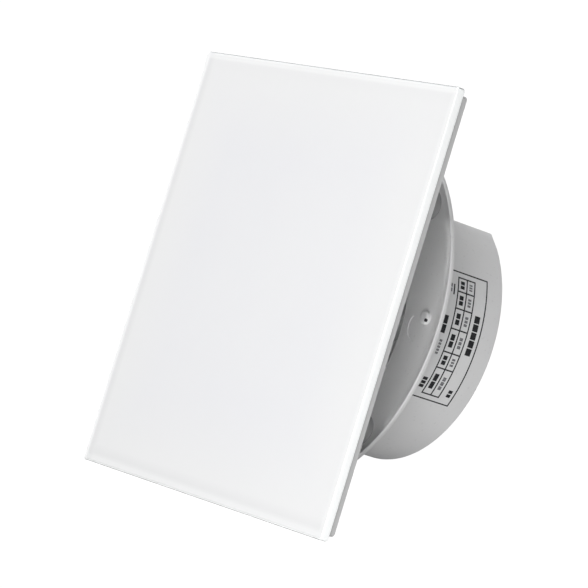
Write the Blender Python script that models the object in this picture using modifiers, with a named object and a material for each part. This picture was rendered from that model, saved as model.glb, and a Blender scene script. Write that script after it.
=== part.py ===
"""Slim bathroom extractor fan with a floating square glass front panel, for a nominal 100 mm duct.

Frame: metres, +Z up. The origin is on the spigot's axis, in the plane where the flange meets the wall.
The room is at -Y and the duct at +Y, so every turned part has its axis along Y.
"""

import math

import bmesh
import bpy
from mathutils import Matrix, Vector

MM = 0.001

# Clearances
GAP = 0.3 * MM  # between pieces that touch
PRESS_GAP = 0.15 * MM  # round a piece that is pressed on or into another
SHAFT_CLEARANCE = 0.08 * MM  # radial, between the shaft and its bushes

# Front panel
PANEL_SIDE = 160 * MM
PANEL_DROP = 1.5 * MM  # the panel's centre hangs this far below the spigot's axis
GLASS_FACE = -34 * MM  # Y of the glass's front face
GLASS_THICKNESS = 3 * MM
GLASS_ARRIS = 0.6 * MM
GLASS_CORNER = 1.2 * MM
TAPE_THICKNESS = 0.5 * MM
TAPE_WIDTH = 12 * MM
TAPE_INSET = 6 * MM
CARRIER_INSET = 2 * MM
CARRIER_THICKNESS = 2.5 * MM
CARRIER_SKIN = 1.4 * MM
CARRIER_RIM = 2.4 * MM
CARRIER_RIB = 2 * MM
CARRIER_CORNER = 1.5 * MM
CARRIER_EDGE = 0.5 * MM
POCKETS = 3  # pockets each way on the carrier's back

# Snap posts of the carrier, and their sockets on the flange
POST_REACH = 8.9 * MM  # of the posts' axes beyond the spigot's radius
POST_RADIUS = 2.5 * MM
POST_ROOT_RADIUS = 4.2 * MM
POST_ROOT_LENGTH = 5 * MM
POST_TIP_GAP = 1 * MM
POST_CLEARANCE = 0.3 * MM
SOCKET_WALL = 2 * MM
SOCKET_HEIGHT = 8 * MM
SOCKET_FLOOR = 1 * MM

# Flange
RIM_REACH = 18.5 * MM  # of the rim beyond the spigot's radius
FLOOR_THICKNESS = 2 * MM
RIM_RISE = 1.9 * MM  # the rim stands this far in front of the floor
RIM_EDGE = 1.8 * MM  # depth of the rim's outer face
RIM_CURVE = 7.5 * MM  # radial width of the upturned border
RIM_ROUND = 0.4 * MM
RIM_STEPS = 72

# Spigot, a round tube with a flat on its top for the cable
SPIGOT_RADIUS = 49.5 * MM
SPIGOT_LENGTH = 36.4 * MM
SPIGOT_WALL = 2 * MM
FLAT_CUT = 9.4 * MM  # depth of the flat below the spigot's full circle

# Throat that the impeller turns in
THROAT_MARGIN = 0.4 * MM  # between the throat and the largest circle inside the spigot
THROAT_WALL = 2 * MM
THROAT_LENGTH = 14.5 * MM
BELL_RADIUS = 4 * MM

# Impeller
TIP_CLEARANCE = 1.2 * MM
BLADES = 7
BLADE_THICKNESS = 1.3 * MM
HUB_RADIUS = 17 * MM
HUB_WALL = 1.6 * MM
HUB_FRONT = 0.5 * MM  # Y of the hub's front face
HUB_LENGTH = 11 * MM
HUB_BOSS_RADIUS = 4 * MM
HUB_ROUND = 2 * MM
BLADE_AXIAL = 9.6 * MM
BLADE_ROOT_TURN = math.radians(33)
BLADE_TIP_TURN = math.radians(33)
BLADE_SWEEP = math.radians(14)
BLADE_CAMBER = 1.1 * MM
BLADE_THINNING = 0.25  # how much less deep the blade is at its tip

# Motor pod and struts
POD_RADIUS = 23.5 * MM
POD_WALL = 1.5 * MM
POD_FRONT = 13.7 * MM
POD_BACK = 36 * MM
POD_END_WALL = 1.6 * MM
STRUT_WIDTH = 2.6 * MM
STRUT_FRONT = 24 * MM
STRUT_DEPTH = 10 * MM
CAP_THICKNESS = 1.2 * MM
CAP_LIP = 2.1 * MM
CAP_BORE = 7 * MM

# Motor
SHAFT_RADIUS = 1.5 * MM
SHAFT_FRONT = -2.4 * MM
STACK_FRONT = 20 * MM
STACK_LENGTH = 10 * MM
STATOR_RADIUS = 20.8 * MM
YOKE_WIDTH = 3 * MM
ROTOR_RADIUS = 9 * MM
AIR_GAP = 0.5 * MM
SHOE_THICKNESS = 2.1 * MM
SHOE_SPACE = 4.4 * MM
POLE_WIDTH = 7 * MM
COIL_BUILD = 2.7 * MM  # thickness of a winding beside its pole
COIL_OVERHANG = 1.6 * MM
SHADING_WIRE = 0.6 * MM
SHADING_SLOT = 0.9 * MM
SHADING_SPAN = 4 * MM
BUSH_RADIUS = 4 * MM
BUSH_LENGTH = 4 * MM
REAR_BUSH_LENGTH = 2.6 * MM
BRIDGE_BOSS_WALL = 1.3 * MM
BRIDGE_THICKNESS = 1.8 * MM
BRIDGE_WIDTH = 9 * MM
BOLT_CIRCLE = 17 * MM
BOLT_ANGLES = (45, 225)
BOLT_RADIUS = 1.4 * MM
BOLT_HEAD_RADIUS = 2.6 * MM
BOLT_HEAD_HEIGHT = 1.5 * MM
EAR_RADIUS = 3.4 * MM
WASHER_RADIUS = 4 * MM
WASHER_THICKNESS = 0.5 * MM

# Finger guard over the inlet
GUARD_FRONT = -8 * MM
GUARD_THICKNESS = 1.6 * MM
GUARD_OVERLAP = 4.2 * MM  # the guard's radius beyond the throat
GUARD_RING_WIDTH = 1.6 * MM
GUARD_RINGS = 4
GUARD_HUB_RADIUS = 7 * MM
GUARD_SPOKES = 6
GUARD_EAR_RADIUS = 3.2 * MM
GUARD_EAR_REACH = 3.4 * MM
GUARD_BOSS_RADIUS = 2.8 * MM
SMALL_SCREW_RADIUS = 1.2 * MM
SMALL_HEAD_RADIUS = 2.2 * MM
SMALL_HEAD_HEIGHT = 1.3 * MM
GUARD_SCREW_LENGTH = 4.2 * MM

# Side bosses and wall-screw slots of the flange
SIDE_BOSS_REACH = 9.1 * MM  # beyond the spigot's radius, as the next two
SIDE_BOSS_Z = 1.4 * MM
SIDE_BOSS_RADIUS = 2.2 * MM
SIDE_BOSS_HEIGHT = 1.7 * MM
SIDE_HOLE = 0.8 * MM
SLOT_REACH = 7.5 * MM
PAD_REACH = 5.9 * MM
PAD_Z = -1.5 * MM
PAD_RADIUS = 5.3 * MM
PAD_RIM = 0.5 * MM
PAD_HEIGHT = 0.35 * MM
SLOT_HOLE = 2.2 * MM
SLOT_LENGTH = 4 * MM
SLOT_ANGLES = (55, 125, 245, 295)

# Terminal compartment at the top of the flange
COVER_HALF_WIDTH = 24 * MM
COVER_ABOVE_FLAT = 2.9 * MM
COVER_HEIGHT = 15.5 * MM
COVER_DEPTH = 13.4 * MM
COVER_WALL = 1.2 * MM
COVER_STANDOFF = 0.7 * MM
COVER_EDGE = 1 * MM
COVER_SCREW_X = 20 * MM
COVER_BOSS_RADIUS = 2.4 * MM
BLOCK_CENTRE_X = 6.3 * MM
BLOCK_WIDTH = 21.6 * MM
BLOCK_HEIGHT = 8 * MM
BLOCK_RISE = 2.1 * MM  # of the block's middle above the compartment's
BLOCK_DEPTH = 9 * MM
POLES = 3
POLE_PITCH = 7.2 * MM
WELL_RADIUS = 2 * MM
WELL_DEPTH = 6 * MM
TERMINAL_SCREW_RADIUS = 1.6 * MM
TERMINAL_SCREW_LENGTH = 3.6 * MM
WIRE_ENTRY = 1.5 * MM
CABLE_X = -18 * MM
CABLE_RISE = 6 * MM  # above the cover's lower edge
GROMMET_NECK = 3.4 * MM
GROMMET_BORE = 2.4 * MM
GROMMET_FLANGE = 4.4 * MM
GROMMET_LIP = 1.4 * MM
CLAMP_X = -9.5 * MM
CLAMP_SPACING = 8.6 * MM
CLAMP_END = 1.9 * MM
CLAMP_WIDTH = 3.4 * MM
CLAMP_THICKNESS = 2 * MM
CLAMP_RISE = 5 * MM

# Motor leads
LEAD_RADIUS = 0.6 * MM
LEAD_SPACING = 2.6 * MM
LEAD_RISE = 3.1 * MM  # of the leads' holes above the cover's lower edge
LEAD_HOLE_RADIUS = 1 * MM
LEAD_BEND = 1.2 * MM
LEAD_BEHIND = 3 * MM  # Y at which the leads turn down behind the flange
LEAD_DROP_Y = 17.6 * MM
LEAD_LIFT = 1 * MM  # between the flat and the leads
LEAD_END = 17.2 * MM  # the leads end this far above the motor's axis

# Values that follow from the ones above
FLOOR_FRONT = -FLOOR_THICKNESS
RIM_FRONT = FLOOR_FRONT - RIM_RISE
SPIGOT_INNER = SPIGOT_RADIUS - SPIGOT_WALL
FLAT_HEIGHT = SPIGOT_RADIUS - FLAT_CUT
RIM_RADIUS = SPIGOT_RADIUS + RIM_REACH
POST_OFFSET = (SPIGOT_RADIUS + POST_REACH) / math.sqrt(2)
SIDE_BOSS_X = SPIGOT_RADIUS + SIDE_BOSS_REACH
PAD_X = SPIGOT_RADIUS + PAD_REACH
SLOT_CIRCLE = SPIGOT_RADIUS + SLOT_REACH
FLAT_INNER = FLAT_HEIGHT - SPIGOT_WALL
AXIS_Z = (FLAT_INNER - SPIGOT_INNER) / 2  # the impeller is centred between the flat and the bottom
THROAT_RADIUS = (FLAT_INNER + SPIGOT_INNER) / 2 - THROAT_MARGIN
IMPELLER_RADIUS = THROAT_RADIUS - TIP_CLEARANCE
HUB_BACK = HUB_FRONT + HUB_LENGTH
POD_INNER = POD_RADIUS - POD_WALL
POD_FLOOR = POD_BACK - POD_END_WALL
GLASS_BACK = GLASS_FACE + GLASS_THICKNESS
TAPE_GAP = GAP
CARRIER_FRONT = GLASS_BACK + TAPE_THICKNESS + 2 * TAPE_GAP
CARRIER_BACK = CARRIER_FRONT + CARRIER_THICKNESS
CARRIER_SIDE = PANEL_SIDE - 2 * CARRIER_INSET
SOCKET_BORE = POST_RADIUS + POST_CLEARANCE
SOCKET_FRONT = FLOOR_FRONT - SOCKET_HEIGHT
STACK_BACK = STACK_FRONT + STACK_LENGTH
GUARD_BACK = GUARD_FRONT + GUARD_THICKNESS
GUARD_RADIUS = THROAT_RADIUS + GUARD_OVERLAP
GUARD_EAR_CIRCLE = GUARD_RADIUS + GUARD_EAR_REACH
GUARD_EARS = (60, 180, 300)
BRIDGE_LEG = COIL_OVERHANG + GAP
FRONT_BRIDGE = STACK_FRONT - GAP - BRIDGE_LEG - BRIDGE_THICKNESS
REAR_BRIDGE = STACK_BACK + GAP + BRIDGE_LEG
COVER_BOTTOM = FLAT_HEIGHT + COVER_ABOVE_FLAT
COVER_BACK = FLOOR_FRONT - COVER_STANDOFF
COVER_FRONT = COVER_BACK - COVER_DEPTH
COVER_MIDDLE = COVER_BOTTOM + COVER_HEIGHT / 2
CABLE_HEIGHT = COVER_BOTTOM + CABLE_RISE
LEAD_HOLE_HEIGHT = COVER_BOTTOM + LEAD_RISE
BLOCK_BACK = FLOOR_FRONT - GAP
BLOCK_FRONT = BLOCK_BACK - BLOCK_DEPTH
BLOCK_MIDDLE = COVER_MIDDLE + BLOCK_RISE
WELL_FLOOR = BLOCK_FRONT + WELL_DEPTH
CLAMP_FRONT = FLOOR_FRONT - CLAMP_RISE - GAP - CLAMP_THICKNESS

PARTS = "bathroom_extractor_fan"
CUTTERS = "construction"
AXIS = Vector((0, 0, AXIS_Z))
ORIGIN = Vector((0, 0, 0))
PANEL_CENTRE = Vector((0, 0, -PANEL_DROP))
ALONG_Y = Matrix.Rotation(-math.pi / 2, 4, "X")  # turns local Z to world +Y


# ---------------------------------------------------------------- materials


def finish(name, colour, roughness, metallic=0.0, alpha=1.0):
    """A Principled material with one colour."""
    made = bpy.data.materials.new(name)
    made.use_nodes = True
    shader = made.node_tree.nodes["Principled BSDF"]
    shader.inputs["Base Color"].default_value = (*colour, 1)
    shader.inputs["Roughness"].default_value = roughness
    shader.inputs["Metallic"].default_value = metallic
    shader.inputs["Alpha"].default_value = alpha
    return made


def make_finishes():
    return {
        "glass": finish("polished_glass", (0.86, 0.89, 0.90), 0.05, alpha=0.9),
        "white": finish("white_plastic", (0.82, 0.82, 0.81), 0.42),
        "grey": finish("grey_plastic", (0.55, 0.56, 0.57), 0.45),
        "black": finish("black_plastic", (0.04, 0.04, 0.045), 0.5),
        "tape": finish("foam_tape", (0.75, 0.75, 0.74), 0.9),
        "rubber": finish("grey_rubber", (0.12, 0.12, 0.12), 0.8),
        "steel": finish("zinc_steel", (0.62, 0.63, 0.64), 0.3, 1.0),
        "lamination": finish("lamination_steel", (0.35, 0.35, 0.36), 0.45, 1.0),
        "copper": finish("enamelled_copper", (0.72, 0.28, 0.12), 0.35, 1.0),
        "aluminium": finish("cast_aluminium", (0.70, 0.71, 0.72), 0.45, 1.0),
        "bronze": finish("sintered_bronze", (0.55, 0.38, 0.18), 0.5, 1.0),
        "brass": finish("brass", (0.78, 0.60, 0.28), 0.3, 1.0),
        "fibre": finish("fibre_washer", (0.45, 0.16, 0.09), 0.8),
        "brown": finish("brown_insulation", (0.16, 0.07, 0.03), 0.5),
        "blue": finish("blue_insulation", (0.03, 0.10, 0.35), 0.5),
    }


# ---------------------------------------------------------------- building tools


def new_collection(name):
    made = bpy.data.collections.new(name)
    bpy.context.scene.collection.children.link(made)
    return made


def add_object(name, mesh, colour=None):
    """A part, or a construction solid where no finish is given."""
    made = bpy.data.objects.new(name, mesh)
    if colour is None:
        bpy.data.collections[CUTTERS].objects.link(made)
        made.hide_render = True
        made.display_type = "WIRE"
    else:
        mesh.materials.append(colour)
        bpy.data.collections[PARTS].objects.link(made)
    return made


def box(name, low, high, colour=None, turn=0.0, about=ORIGIN, bevel=0.0, segments=2):
    """A box between two corners, turned about a line along Y through a point, with optional round edges."""
    low = Vector(low)
    high = Vector(high)
    shape = bmesh.new()
    bmesh.ops.create_cube(shape, size=1)
    bmesh.ops.scale(shape, vec=high - low, verts=shape.verts)
    mesh = bpy.data.meshes.new(name)
    shape.to_mesh(mesh)
    shape.free()
    made = add_object(name, mesh, colour)
    spin = Matrix.Rotation(-turn, 4, "Y")
    made.matrix_world = Matrix.Translation(about) @ spin @ Matrix.Translation((low + high) / 2)
    if bevel:
        add_bevel(made, bevel, segments)
    return made


def add_bevel(target, width, segments=2, angle=math.radians(40)):
    made = target.modifiers.new("rounding", "BEVEL")
    made.width = width
    made.segments = segments
    made.limit_method = "ANGLE"
    made.angle_limit = angle
    made.use_clamp_overlap = True
    return made


def signed_area(points):
    ahead = points[1:] + points[:1]
    return sum(a[0] * b[1] - b[0] * a[1] for a, b in zip(points, ahead)) / 2


def turned(name, profile, colour=None, centre=ORIGIN, steps=48):
    """Turns a profile of (radius, Y) points about a line along Y through a point."""
    points = list(profile)
    if signed_area(points) > 0:
        points.reverse()
    on_axis = [i for i, point in enumerate(points) if point[0] == 0]
    if on_axis:
        start = next(i for i in on_axis if points[i - 1][0] == 0)
        points = points[start:] + points[:start]
    count = len(points)
    edges = [(i, i + 1) for i in range(count - 1)]
    if not on_axis:
        edges.append((count - 1, 0))
    mesh = bpy.data.meshes.new(name)
    mesh.from_pydata([(radius, 0, along) for radius, along in points], edges, [])
    made = add_object(name, mesh, colour)
    made.matrix_world = Matrix.Translation(centre) @ ALONG_Y
    screw = made.modifiers.new("turning", "SCREW")
    screw.axis = "Z"
    screw.angle = 2 * math.pi
    screw.steps = steps
    screw.render_steps = steps
    screw.use_merge_vertices = True
    screw.merge_threshold = 0.00001
    screw.use_smooth_shade = True
    return made


def cylinder(name, radius, front, back, colour=None, centre=ORIGIN, steps=32):
    return turned(name, [(0, front), (radius, front), (radius, back), (0, back)], colour, centre, steps)


def ring(name, inner, outer, front, back, colour=None, centre=ORIGIN, steps=48):
    outline = [(inner, front), (outer, front), (outer, back), (inner, back)]
    return turned(name, outline, colour, centre, steps)


def plate(name, outlines, front, back, colour=None):
    """A flat piece from closed (X, Z) outlines; an outline inside another is a hole."""
    curve = bpy.data.curves.new(name, "CURVE")
    curve.dimensions = "2D"
    curve.fill_mode = "BOTH"
    curve.extrude = (back - front) / 2
    for outline in outlines:
        spline = curve.splines.new("POLY")
        spline.points.add(len(outline) - 1)
        for point, (x, z) in zip(spline.points, outline):
            point.co = (x, -z, 0, 1)
        spline.use_cyclic_u = True
    place = Matrix.Translation((0, (front + back) / 2, 0)) @ ALONG_Y
    return mesh_of_curve(name, curve, place, colour)


def mesh_of_curve(name, curve, place, colour):
    """Makes a curve's solid a mesh, with its caps joined to its sides."""
    drawn = bpy.data.objects.new(name + "_curve", curve)
    bpy.context.scene.collection.objects.link(drawn)
    bpy.context.view_layer.update()
    graph = bpy.context.evaluated_depsgraph_get()
    mesh = bpy.data.meshes.new_from_object(drawn.evaluated_get(graph))
    bpy.data.objects.remove(drawn, do_unlink=True)
    shape = bmesh.new()
    shape.from_mesh(mesh)
    bmesh.ops.remove_doubles(shape, verts=shape.verts, dist=0.00001)
    bmesh.ops.recalc_face_normals(shape, faces=shape.faces)
    shape.to_mesh(mesh)
    shape.free()
    mesh.name = name
    mesh.materials.clear()
    made = add_object(name, mesh, colour)
    made.matrix_world = place
    return made


def arc(centre, radius, start, end, steps):
    """Points of an arc in (X, Z), angles in degrees."""
    turns = [math.radians(start + (end - start) * i / steps) for i in range(steps + 1)]
    return [(centre[0] + radius * math.cos(a), centre[1] + radius * math.sin(a)) for a in turns]


def round_square(half, radius, centre=(0, 0), steps=4):
    inside = half - radius
    points = []
    for quarter, (sx, sz) in enumerate(((1, 1), (-1, 1), (-1, -1), (1, -1))):
        corner = (centre[0] + sx * inside, centre[1] + sz * inside)
        points += arc(corner, radius, 90 * quarter, 90 * quarter + 90, steps)
    return points


def apply_operation(target, tools, operation):
    """One Boolean with all the tools, gathered in a collection of their own."""
    group = bpy.data.collections.new(f"{target.name}_{operation.lower()}")
    group.hide_render = True
    bpy.data.collections[CUTTERS].children.link(group)
    for tool in tools:
        group.objects.link(tool)
        bpy.data.collections[CUTTERS].objects.unlink(tool)
    made = target.modifiers.new(operation.lower(), "BOOLEAN")
    made.operation = operation
    made.operand_type = "COLLECTION"
    made.collection = group
    made.solver = "EXACT"


def join(target, *tools):
    apply_operation(target, tools, "UNION")


def cut(target, *tools):
    apply_operation(target, tools, "DIFFERENCE")


def polar(angle, radius, centre=ORIGIN):
    """The point at an angle in degrees and a radius round a line along Y."""
    turn = math.radians(angle)
    return Vector((centre[0] + radius * math.cos(turn), 0, centre[2] + radius * math.sin(turn)))


def slotted_screw(name, centre, front, head, shank, colour, slot=0.8 * MM):
    """A pan-head screw: head is (radius, height) and shank is (radius, length)."""
    seat = front + head[1]
    tip = seat + shank[1]
    made = turned(
        name,
        [
            (0, front),
            (0.6 * head[0], front),
            (head[0], front + 0.45 * head[1]),
            (head[0], seat),
            (shank[0], seat),
            (shank[0], tip - 0.6 * shank[0]),
            (0.4 * shank[0], tip),
            (0, tip),
        ],
        colour,
        centre,
        16,
    )
    low = (-1.5 * head[0], front - GAP, -slot / 2)
    high = (1.5 * head[0], front + 0.5 * head[1], slot / 2)
    cut(made, box(name + "_slot", low, high, about=centre, turn=math.radians(35)))
    return made


# ---------------------------------------------------------------- front panel


def make_glass_panel(colours):
    half = PANEL_SIDE / 2
    outline = round_square(half, GLASS_CORNER, (0, -PANEL_DROP))
    glass = plate("glass_panel", [outline], GLASS_FACE, GLASS_BACK, colours["glass"])
    add_bevel(glass, GLASS_ARRIS, 1, math.radians(60))


def make_tapes(colours):
    """Two long strips at the sides and two short ones between them."""
    front = GLASS_BACK + TAPE_GAP
    back = front + TAPE_THICKNESS
    edge = CARRIER_SIDE / 2 - TAPE_INSET
    inner = edge - TAPE_WIDTH
    short = inner - TAPE_WIDTH / 2
    for name, low, high in (
        ("adhesive_strip_left", (-edge, -edge), (-inner, edge)),
        ("adhesive_strip_right", (inner, -edge), (edge, edge)),
        ("adhesive_strip_top", (-short, inner), (short, edge)),
        ("adhesive_strip_bottom", (-short, -edge), (short, -inner)),
    ):
        box(name, (low[0], front, low[1]), (high[0], back, high[1]), colours["tape"], about=PANEL_CENTRE)


def post_centres():
    return [Vector((sx * POST_OFFSET, 0, sz * POST_OFFSET)) for sx in (1, -1) for sz in (1, -1)]


def make_carrier(colours):
    outline = round_square(CARRIER_SIDE / 2, CARRIER_CORNER, (0, -PANEL_DROP))
    carrier = plate("panel_carrier", [outline], CARRIER_FRONT, CARRIER_BACK, colours["white"])
    add_bevel(carrier, CARRIER_EDGE, 1, math.radians(60))
    clear = CARRIER_SIDE - 2 * CARRIER_RIM
    pitch = (clear + CARRIER_RIB) / POCKETS
    size = pitch - CARRIER_RIB
    floor = CARRIER_FRONT + CARRIER_SKIN
    pockets = []
    for column in range(POCKETS):
        for row in range(POCKETS):
            x = -clear / 2 + column * pitch
            z = -clear / 2 + row * pitch
            low = (x, floor, z)
            high = (x + size, CARRIER_BACK + GAP, z + size)
            pockets.append(box(f"carrier_pocket_{column}_{row}", low, high, about=PANEL_CENTRE))
    cut(carrier, *pockets)
    tip = FLOOR_FRONT + SOCKET_FLOOR - POST_TIP_GAP
    root = floor + POST_ROOT_LENGTH
    taper = POST_ROOT_RADIUS - POST_RADIUS
    profile = [
        (0, CARRIER_FRONT + CARRIER_SKIN / 2),
        (POST_ROOT_RADIUS, CARRIER_FRONT + CARRIER_SKIN / 2),
        (POST_ROOT_RADIUS, root),
        (POST_RADIUS, root + taper),
        (POST_RADIUS, tip - POST_RADIUS / 2),
        (POST_RADIUS / 2, tip),
        (0, tip),
    ]
    posts = [turned(f"snap_post_{i}", profile, None, centre, 20) for i, centre in enumerate(post_centres())]
    join(carrier, *posts)


# ---------------------------------------------------------------- fan body


def rim_profile():
    """Half section of the flange: a flat floor whose border curves up to a thin rim."""
    start = RIM_RADIUS - RIM_CURVE
    steps = 5
    front = []
    back = []
    for i in range(steps + 1):
        part = i / steps
        radius = start + (RIM_CURVE - RIM_ROUND) * part
        front.append((radius, FLOOR_FRONT - RIM_RISE * part**2))
        back.append((radius, (RIM_FRONT + RIM_EDGE) * part**2))
    outer = [
        (RIM_RADIUS, RIM_FRONT + RIM_ROUND),
        (RIM_RADIUS, RIM_FRONT + RIM_EDGE - RIM_ROUND),
    ]
    return [(0, FLOOR_FRONT)] + front + outer + back[::-1] + [(0, 0)]


def spigot_outline(radius, flat, steps):
    """A circle cut off by a straight chord at the top."""
    corner = math.degrees(math.asin(flat / radius))
    return arc((0, 0), radius, corner, -180 - corner, steps)


def make_spigot():
    outer = spigot_outline(SPIGOT_RADIUS, FLAT_HEIGHT, 64)
    inner = spigot_outline(SPIGOT_INNER, FLAT_INNER, 64)
    return plate("spigot_tube", [outer, inner], FLOOR_FRONT / 2, SPIGOT_LENGTH)


def throat_cutter():
    centre = FLOOR_FRONT + BELL_RADIUS
    bell = []
    for i in range(4):
        turn = math.radians(180 + 90 * i / 3)
        radius = THROAT_RADIUS + BELL_RADIUS * (1 + math.cos(turn))
        bell.append((radius, centre + BELL_RADIUS * math.sin(turn)))
    front = FLOOR_FRONT - BELL_RADIUS
    back = FLOOR_FRONT + THROAT_LENGTH + GAP
    mouth = [(bell[-1][0], front), (0, front)]
    return turned("throat_bore", [(0, back), (THROAT_RADIUS, back)] + bell + mouth, None, AXIS, 60)


def make_struts():
    """Four ribs in a cross that hold the motor pod inside the spigot."""
    middle = SPIGOT_RADIUS - SPIGOT_WALL / 2
    reach = math.sqrt(middle**2 - AXIS_Z**2)
    back = STRUT_FRONT + STRUT_DEPTH
    half = STRUT_WIDTH / 2
    level = box("level_strut", (-reach, STRUT_FRONT, AXIS_Z - half), (reach, back, AXIS_Z + half))
    top = FLAT_HEIGHT - SPIGOT_WALL / 2
    upright = box("upright_strut", (-half, STRUT_FRONT, -middle), (half, back, top))
    return level, upright


def screw_slots():
    """Cutters of the slots for the wall screws, each along its own radius."""
    cutters = []
    for angle in SLOT_ANGLES:
        name = f"screw_slot_{angle}"
        inner = SLOT_CIRCLE - SLOT_LENGTH / 2
        outer = SLOT_CIRCLE + SLOT_LENGTH / 2
        front = FLOOR_FRONT - RIM_RISE
        back = FLOOR_THICKNESS
        outline = arc((outer, 0), SLOT_HOLE, -90, 90, 6) + arc((inner, 0), SLOT_HOLE, 90, 270, 6)
        slot = plate(name, [outline], front, back)
        slot.matrix_world = Matrix.Rotation(-math.radians(angle), 4, "Y") @ slot.matrix_world
        cutters.append(slot)
    return cutters


def side_bosses():
    """A stub with a small hole, beside a low round pad, at each side of the flange."""
    solids = []
    for side in (-1, 1):
        pad = Vector((side * PAD_X, 0, PAD_Z))
        stub = Vector((side * SIDE_BOSS_X, 0, SIDE_BOSS_Z))
        name = "left" if side < 0 else "right"
        root = FLOOR_FRONT / 2
        top = FLOOR_FRONT - SIDE_BOSS_HEIGHT
        rim = FLOOR_FRONT - PAD_HEIGHT
        solids.append(ring(f"pad_rim_{name}", PAD_RADIUS - PAD_RIM, PAD_RADIUS, rim, root, None, pad, 24))
        solids.append(blind_boss(f"side_boss_{name}", stub, SIDE_BOSS_RADIUS, SIDE_HOLE, top))
    return solids


def blind_boss(name, centre, radius, hole, top):
    """A round boss on the floor with a blind hole from its top."""
    root = FLOOR_FRONT / 2
    floor = FLOOR_FRONT - GAP
    profile = [(0, floor), (hole, floor), (hole, top), (radius, top), (radius, root), (0, root)]
    return turned(name, profile, None, centre, 16)


def small_bosses():
    """Bosses for the guard's, the cable clamp's and the terminal cover's screws."""
    hole = SMALL_SCREW_RADIUS + PRESS_GAP
    seat = GUARD_BACK + GAP
    solids = [
        blind_boss(f"guard_boss_{angle}", polar(angle, GUARD_EAR_CIRCLE, AXIS), GUARD_BOSS_RADIUS, hole, seat)
        for angle in GUARD_EARS
    ]
    seat = FLOOR_FRONT - CLAMP_RISE
    for side in (-1, 1):
        place = Vector((CLAMP_X, 0, COVER_MIDDLE + side * CLAMP_SPACING / 2))
        solids.append(blind_boss(f"clamp_boss_{side}", place, CLAMP_END, hole, seat))
    seat = COVER_FRONT + COVER_WALL + GAP
    place = Vector((COVER_SCREW_X, 0, COVER_MIDDLE))
    solids.append(blind_boss("cover_boss", place, COVER_BOSS_RADIUS, hole, seat))
    return solids


def sockets():
    radius = SOCKET_BORE + SOCKET_WALL
    return [
        cylinder(f"socket_{index}", radius, SOCKET_FRONT, FLOOR_FRONT / 2, None, centre, 24)
        for index, centre in enumerate(post_centres())
    ]


def socket_bores():
    floor = FLOOR_FRONT + SOCKET_FLOOR
    return [
        cylinder(f"socket_bore_{index}", SOCKET_BORE, SOCKET_FRONT - GAP, floor, None, centre, 20)
        for index, centre in enumerate(post_centres())
    ]


def lead_holes():
    """Two holes through the flange, and one down through the spigot's flat and the pod's wall."""
    cutters = []
    for side in (-1, 1):
        place = Vector((side * LEAD_SPACING / 2, 0, LEAD_HOLE_HEIGHT))
        front = FLOOR_FRONT - GAP
        cutters.append(cylinder(f"lead_hole_{side}", LEAD_HOLE_RADIUS, front, GAP, None, place, 12))
    half = LEAD_SPACING / 2 + LEAD_RADIUS + GAP
    low = (-half, LEAD_DROP_Y - LEAD_RADIUS - GAP, AXIS_Z + POD_INNER - POD_WALL)
    high = (half, LEAD_DROP_Y + LEAD_RADIUS + GAP, FLAT_HEIGHT + GAP)
    return cutters + [box("lead_drop", low, high)]


def bolt_holes(name, front, back):
    """Cutters for the two motor bolts."""
    radius = BOLT_RADIUS + GAP
    return [
        cylinder(f"{name}_{angle}", radius, front - GAP, back + GAP, None, polar(angle, BOLT_CIRCLE, AXIS), 16)
        for angle in BOLT_ANGLES
    ]


def make_fan_body(colours):
    body = turned("fan_body", rim_profile(), colours["white"], ORIGIN, RIM_STEPS)
    outer = THROAT_RADIUS + THROAT_WALL
    back = FLOOR_FRONT + THROAT_LENGTH
    join(
        body,
        make_spigot(),
        cylinder("throat_ring", outer, FLOOR_FRONT / 2, back, None, AXIS, 60),
        cylinder("pod", POD_RADIUS, POD_FRONT, POD_BACK, None, AXIS, 40),
        *make_struts(),
        *sockets(),
        *side_bosses(),
        *small_bosses(),
    )
    cable = Vector((CABLE_X, 0, CABLE_HEIGHT))
    hole = GROMMET_NECK + GAP
    cut(
        body,
        throat_cutter(),
        cylinder("pod_bore", POD_INNER, POD_FRONT - GAP, POD_FLOOR, None, AXIS, 40),
        *bolt_holes("pod_bolt_hole", POD_FLOOR, POD_BACK),
        *socket_bores(),
        *screw_slots(),
        cylinder("cable_hole", hole, FLOOR_FRONT - GAP, GAP, None, cable, 24),
        *lead_holes(),
    )


# ---------------------------------------------------------------- finger guard


def guard_outline():
    """The guard's edge: a circle with three round-ended ears."""
    points = []
    opening = math.degrees(math.asin(GUARD_EAR_RADIUS / GUARD_RADIUS))
    centre = (0, AXIS_Z)
    for index, angle in enumerate(GUARD_EARS):
        before = GUARD_EARS[index - 1] - (360 if index == 0 else 0)
        points += arc(centre, GUARD_RADIUS, before + opening, angle - opening, 18)
        ear = polar(angle, GUARD_EAR_CIRCLE, AXIS)
        points += arc((ear.x, ear.z), GUARD_EAR_RADIUS, angle - 90, angle + 90, 8)
    return points


def guard_opening(inner, outer, spoke):
    """The opening between two rings, from one spoke to the next."""
    centre = (0, AXIS_Z)
    half = GUARD_RING_WIDTH / 2
    turn = 360 / GUARD_SPOKES
    near = math.degrees(math.asin(half / inner))
    far = math.degrees(math.asin(half / outer))
    steps = max(2, round(outer / (9 * MM)))
    start = turn * spoke
    inward = arc(centre, inner, start + turn - near, start + near, steps)
    return arc(centre, outer, start + far, start + turn - far, steps) + inward


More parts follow.
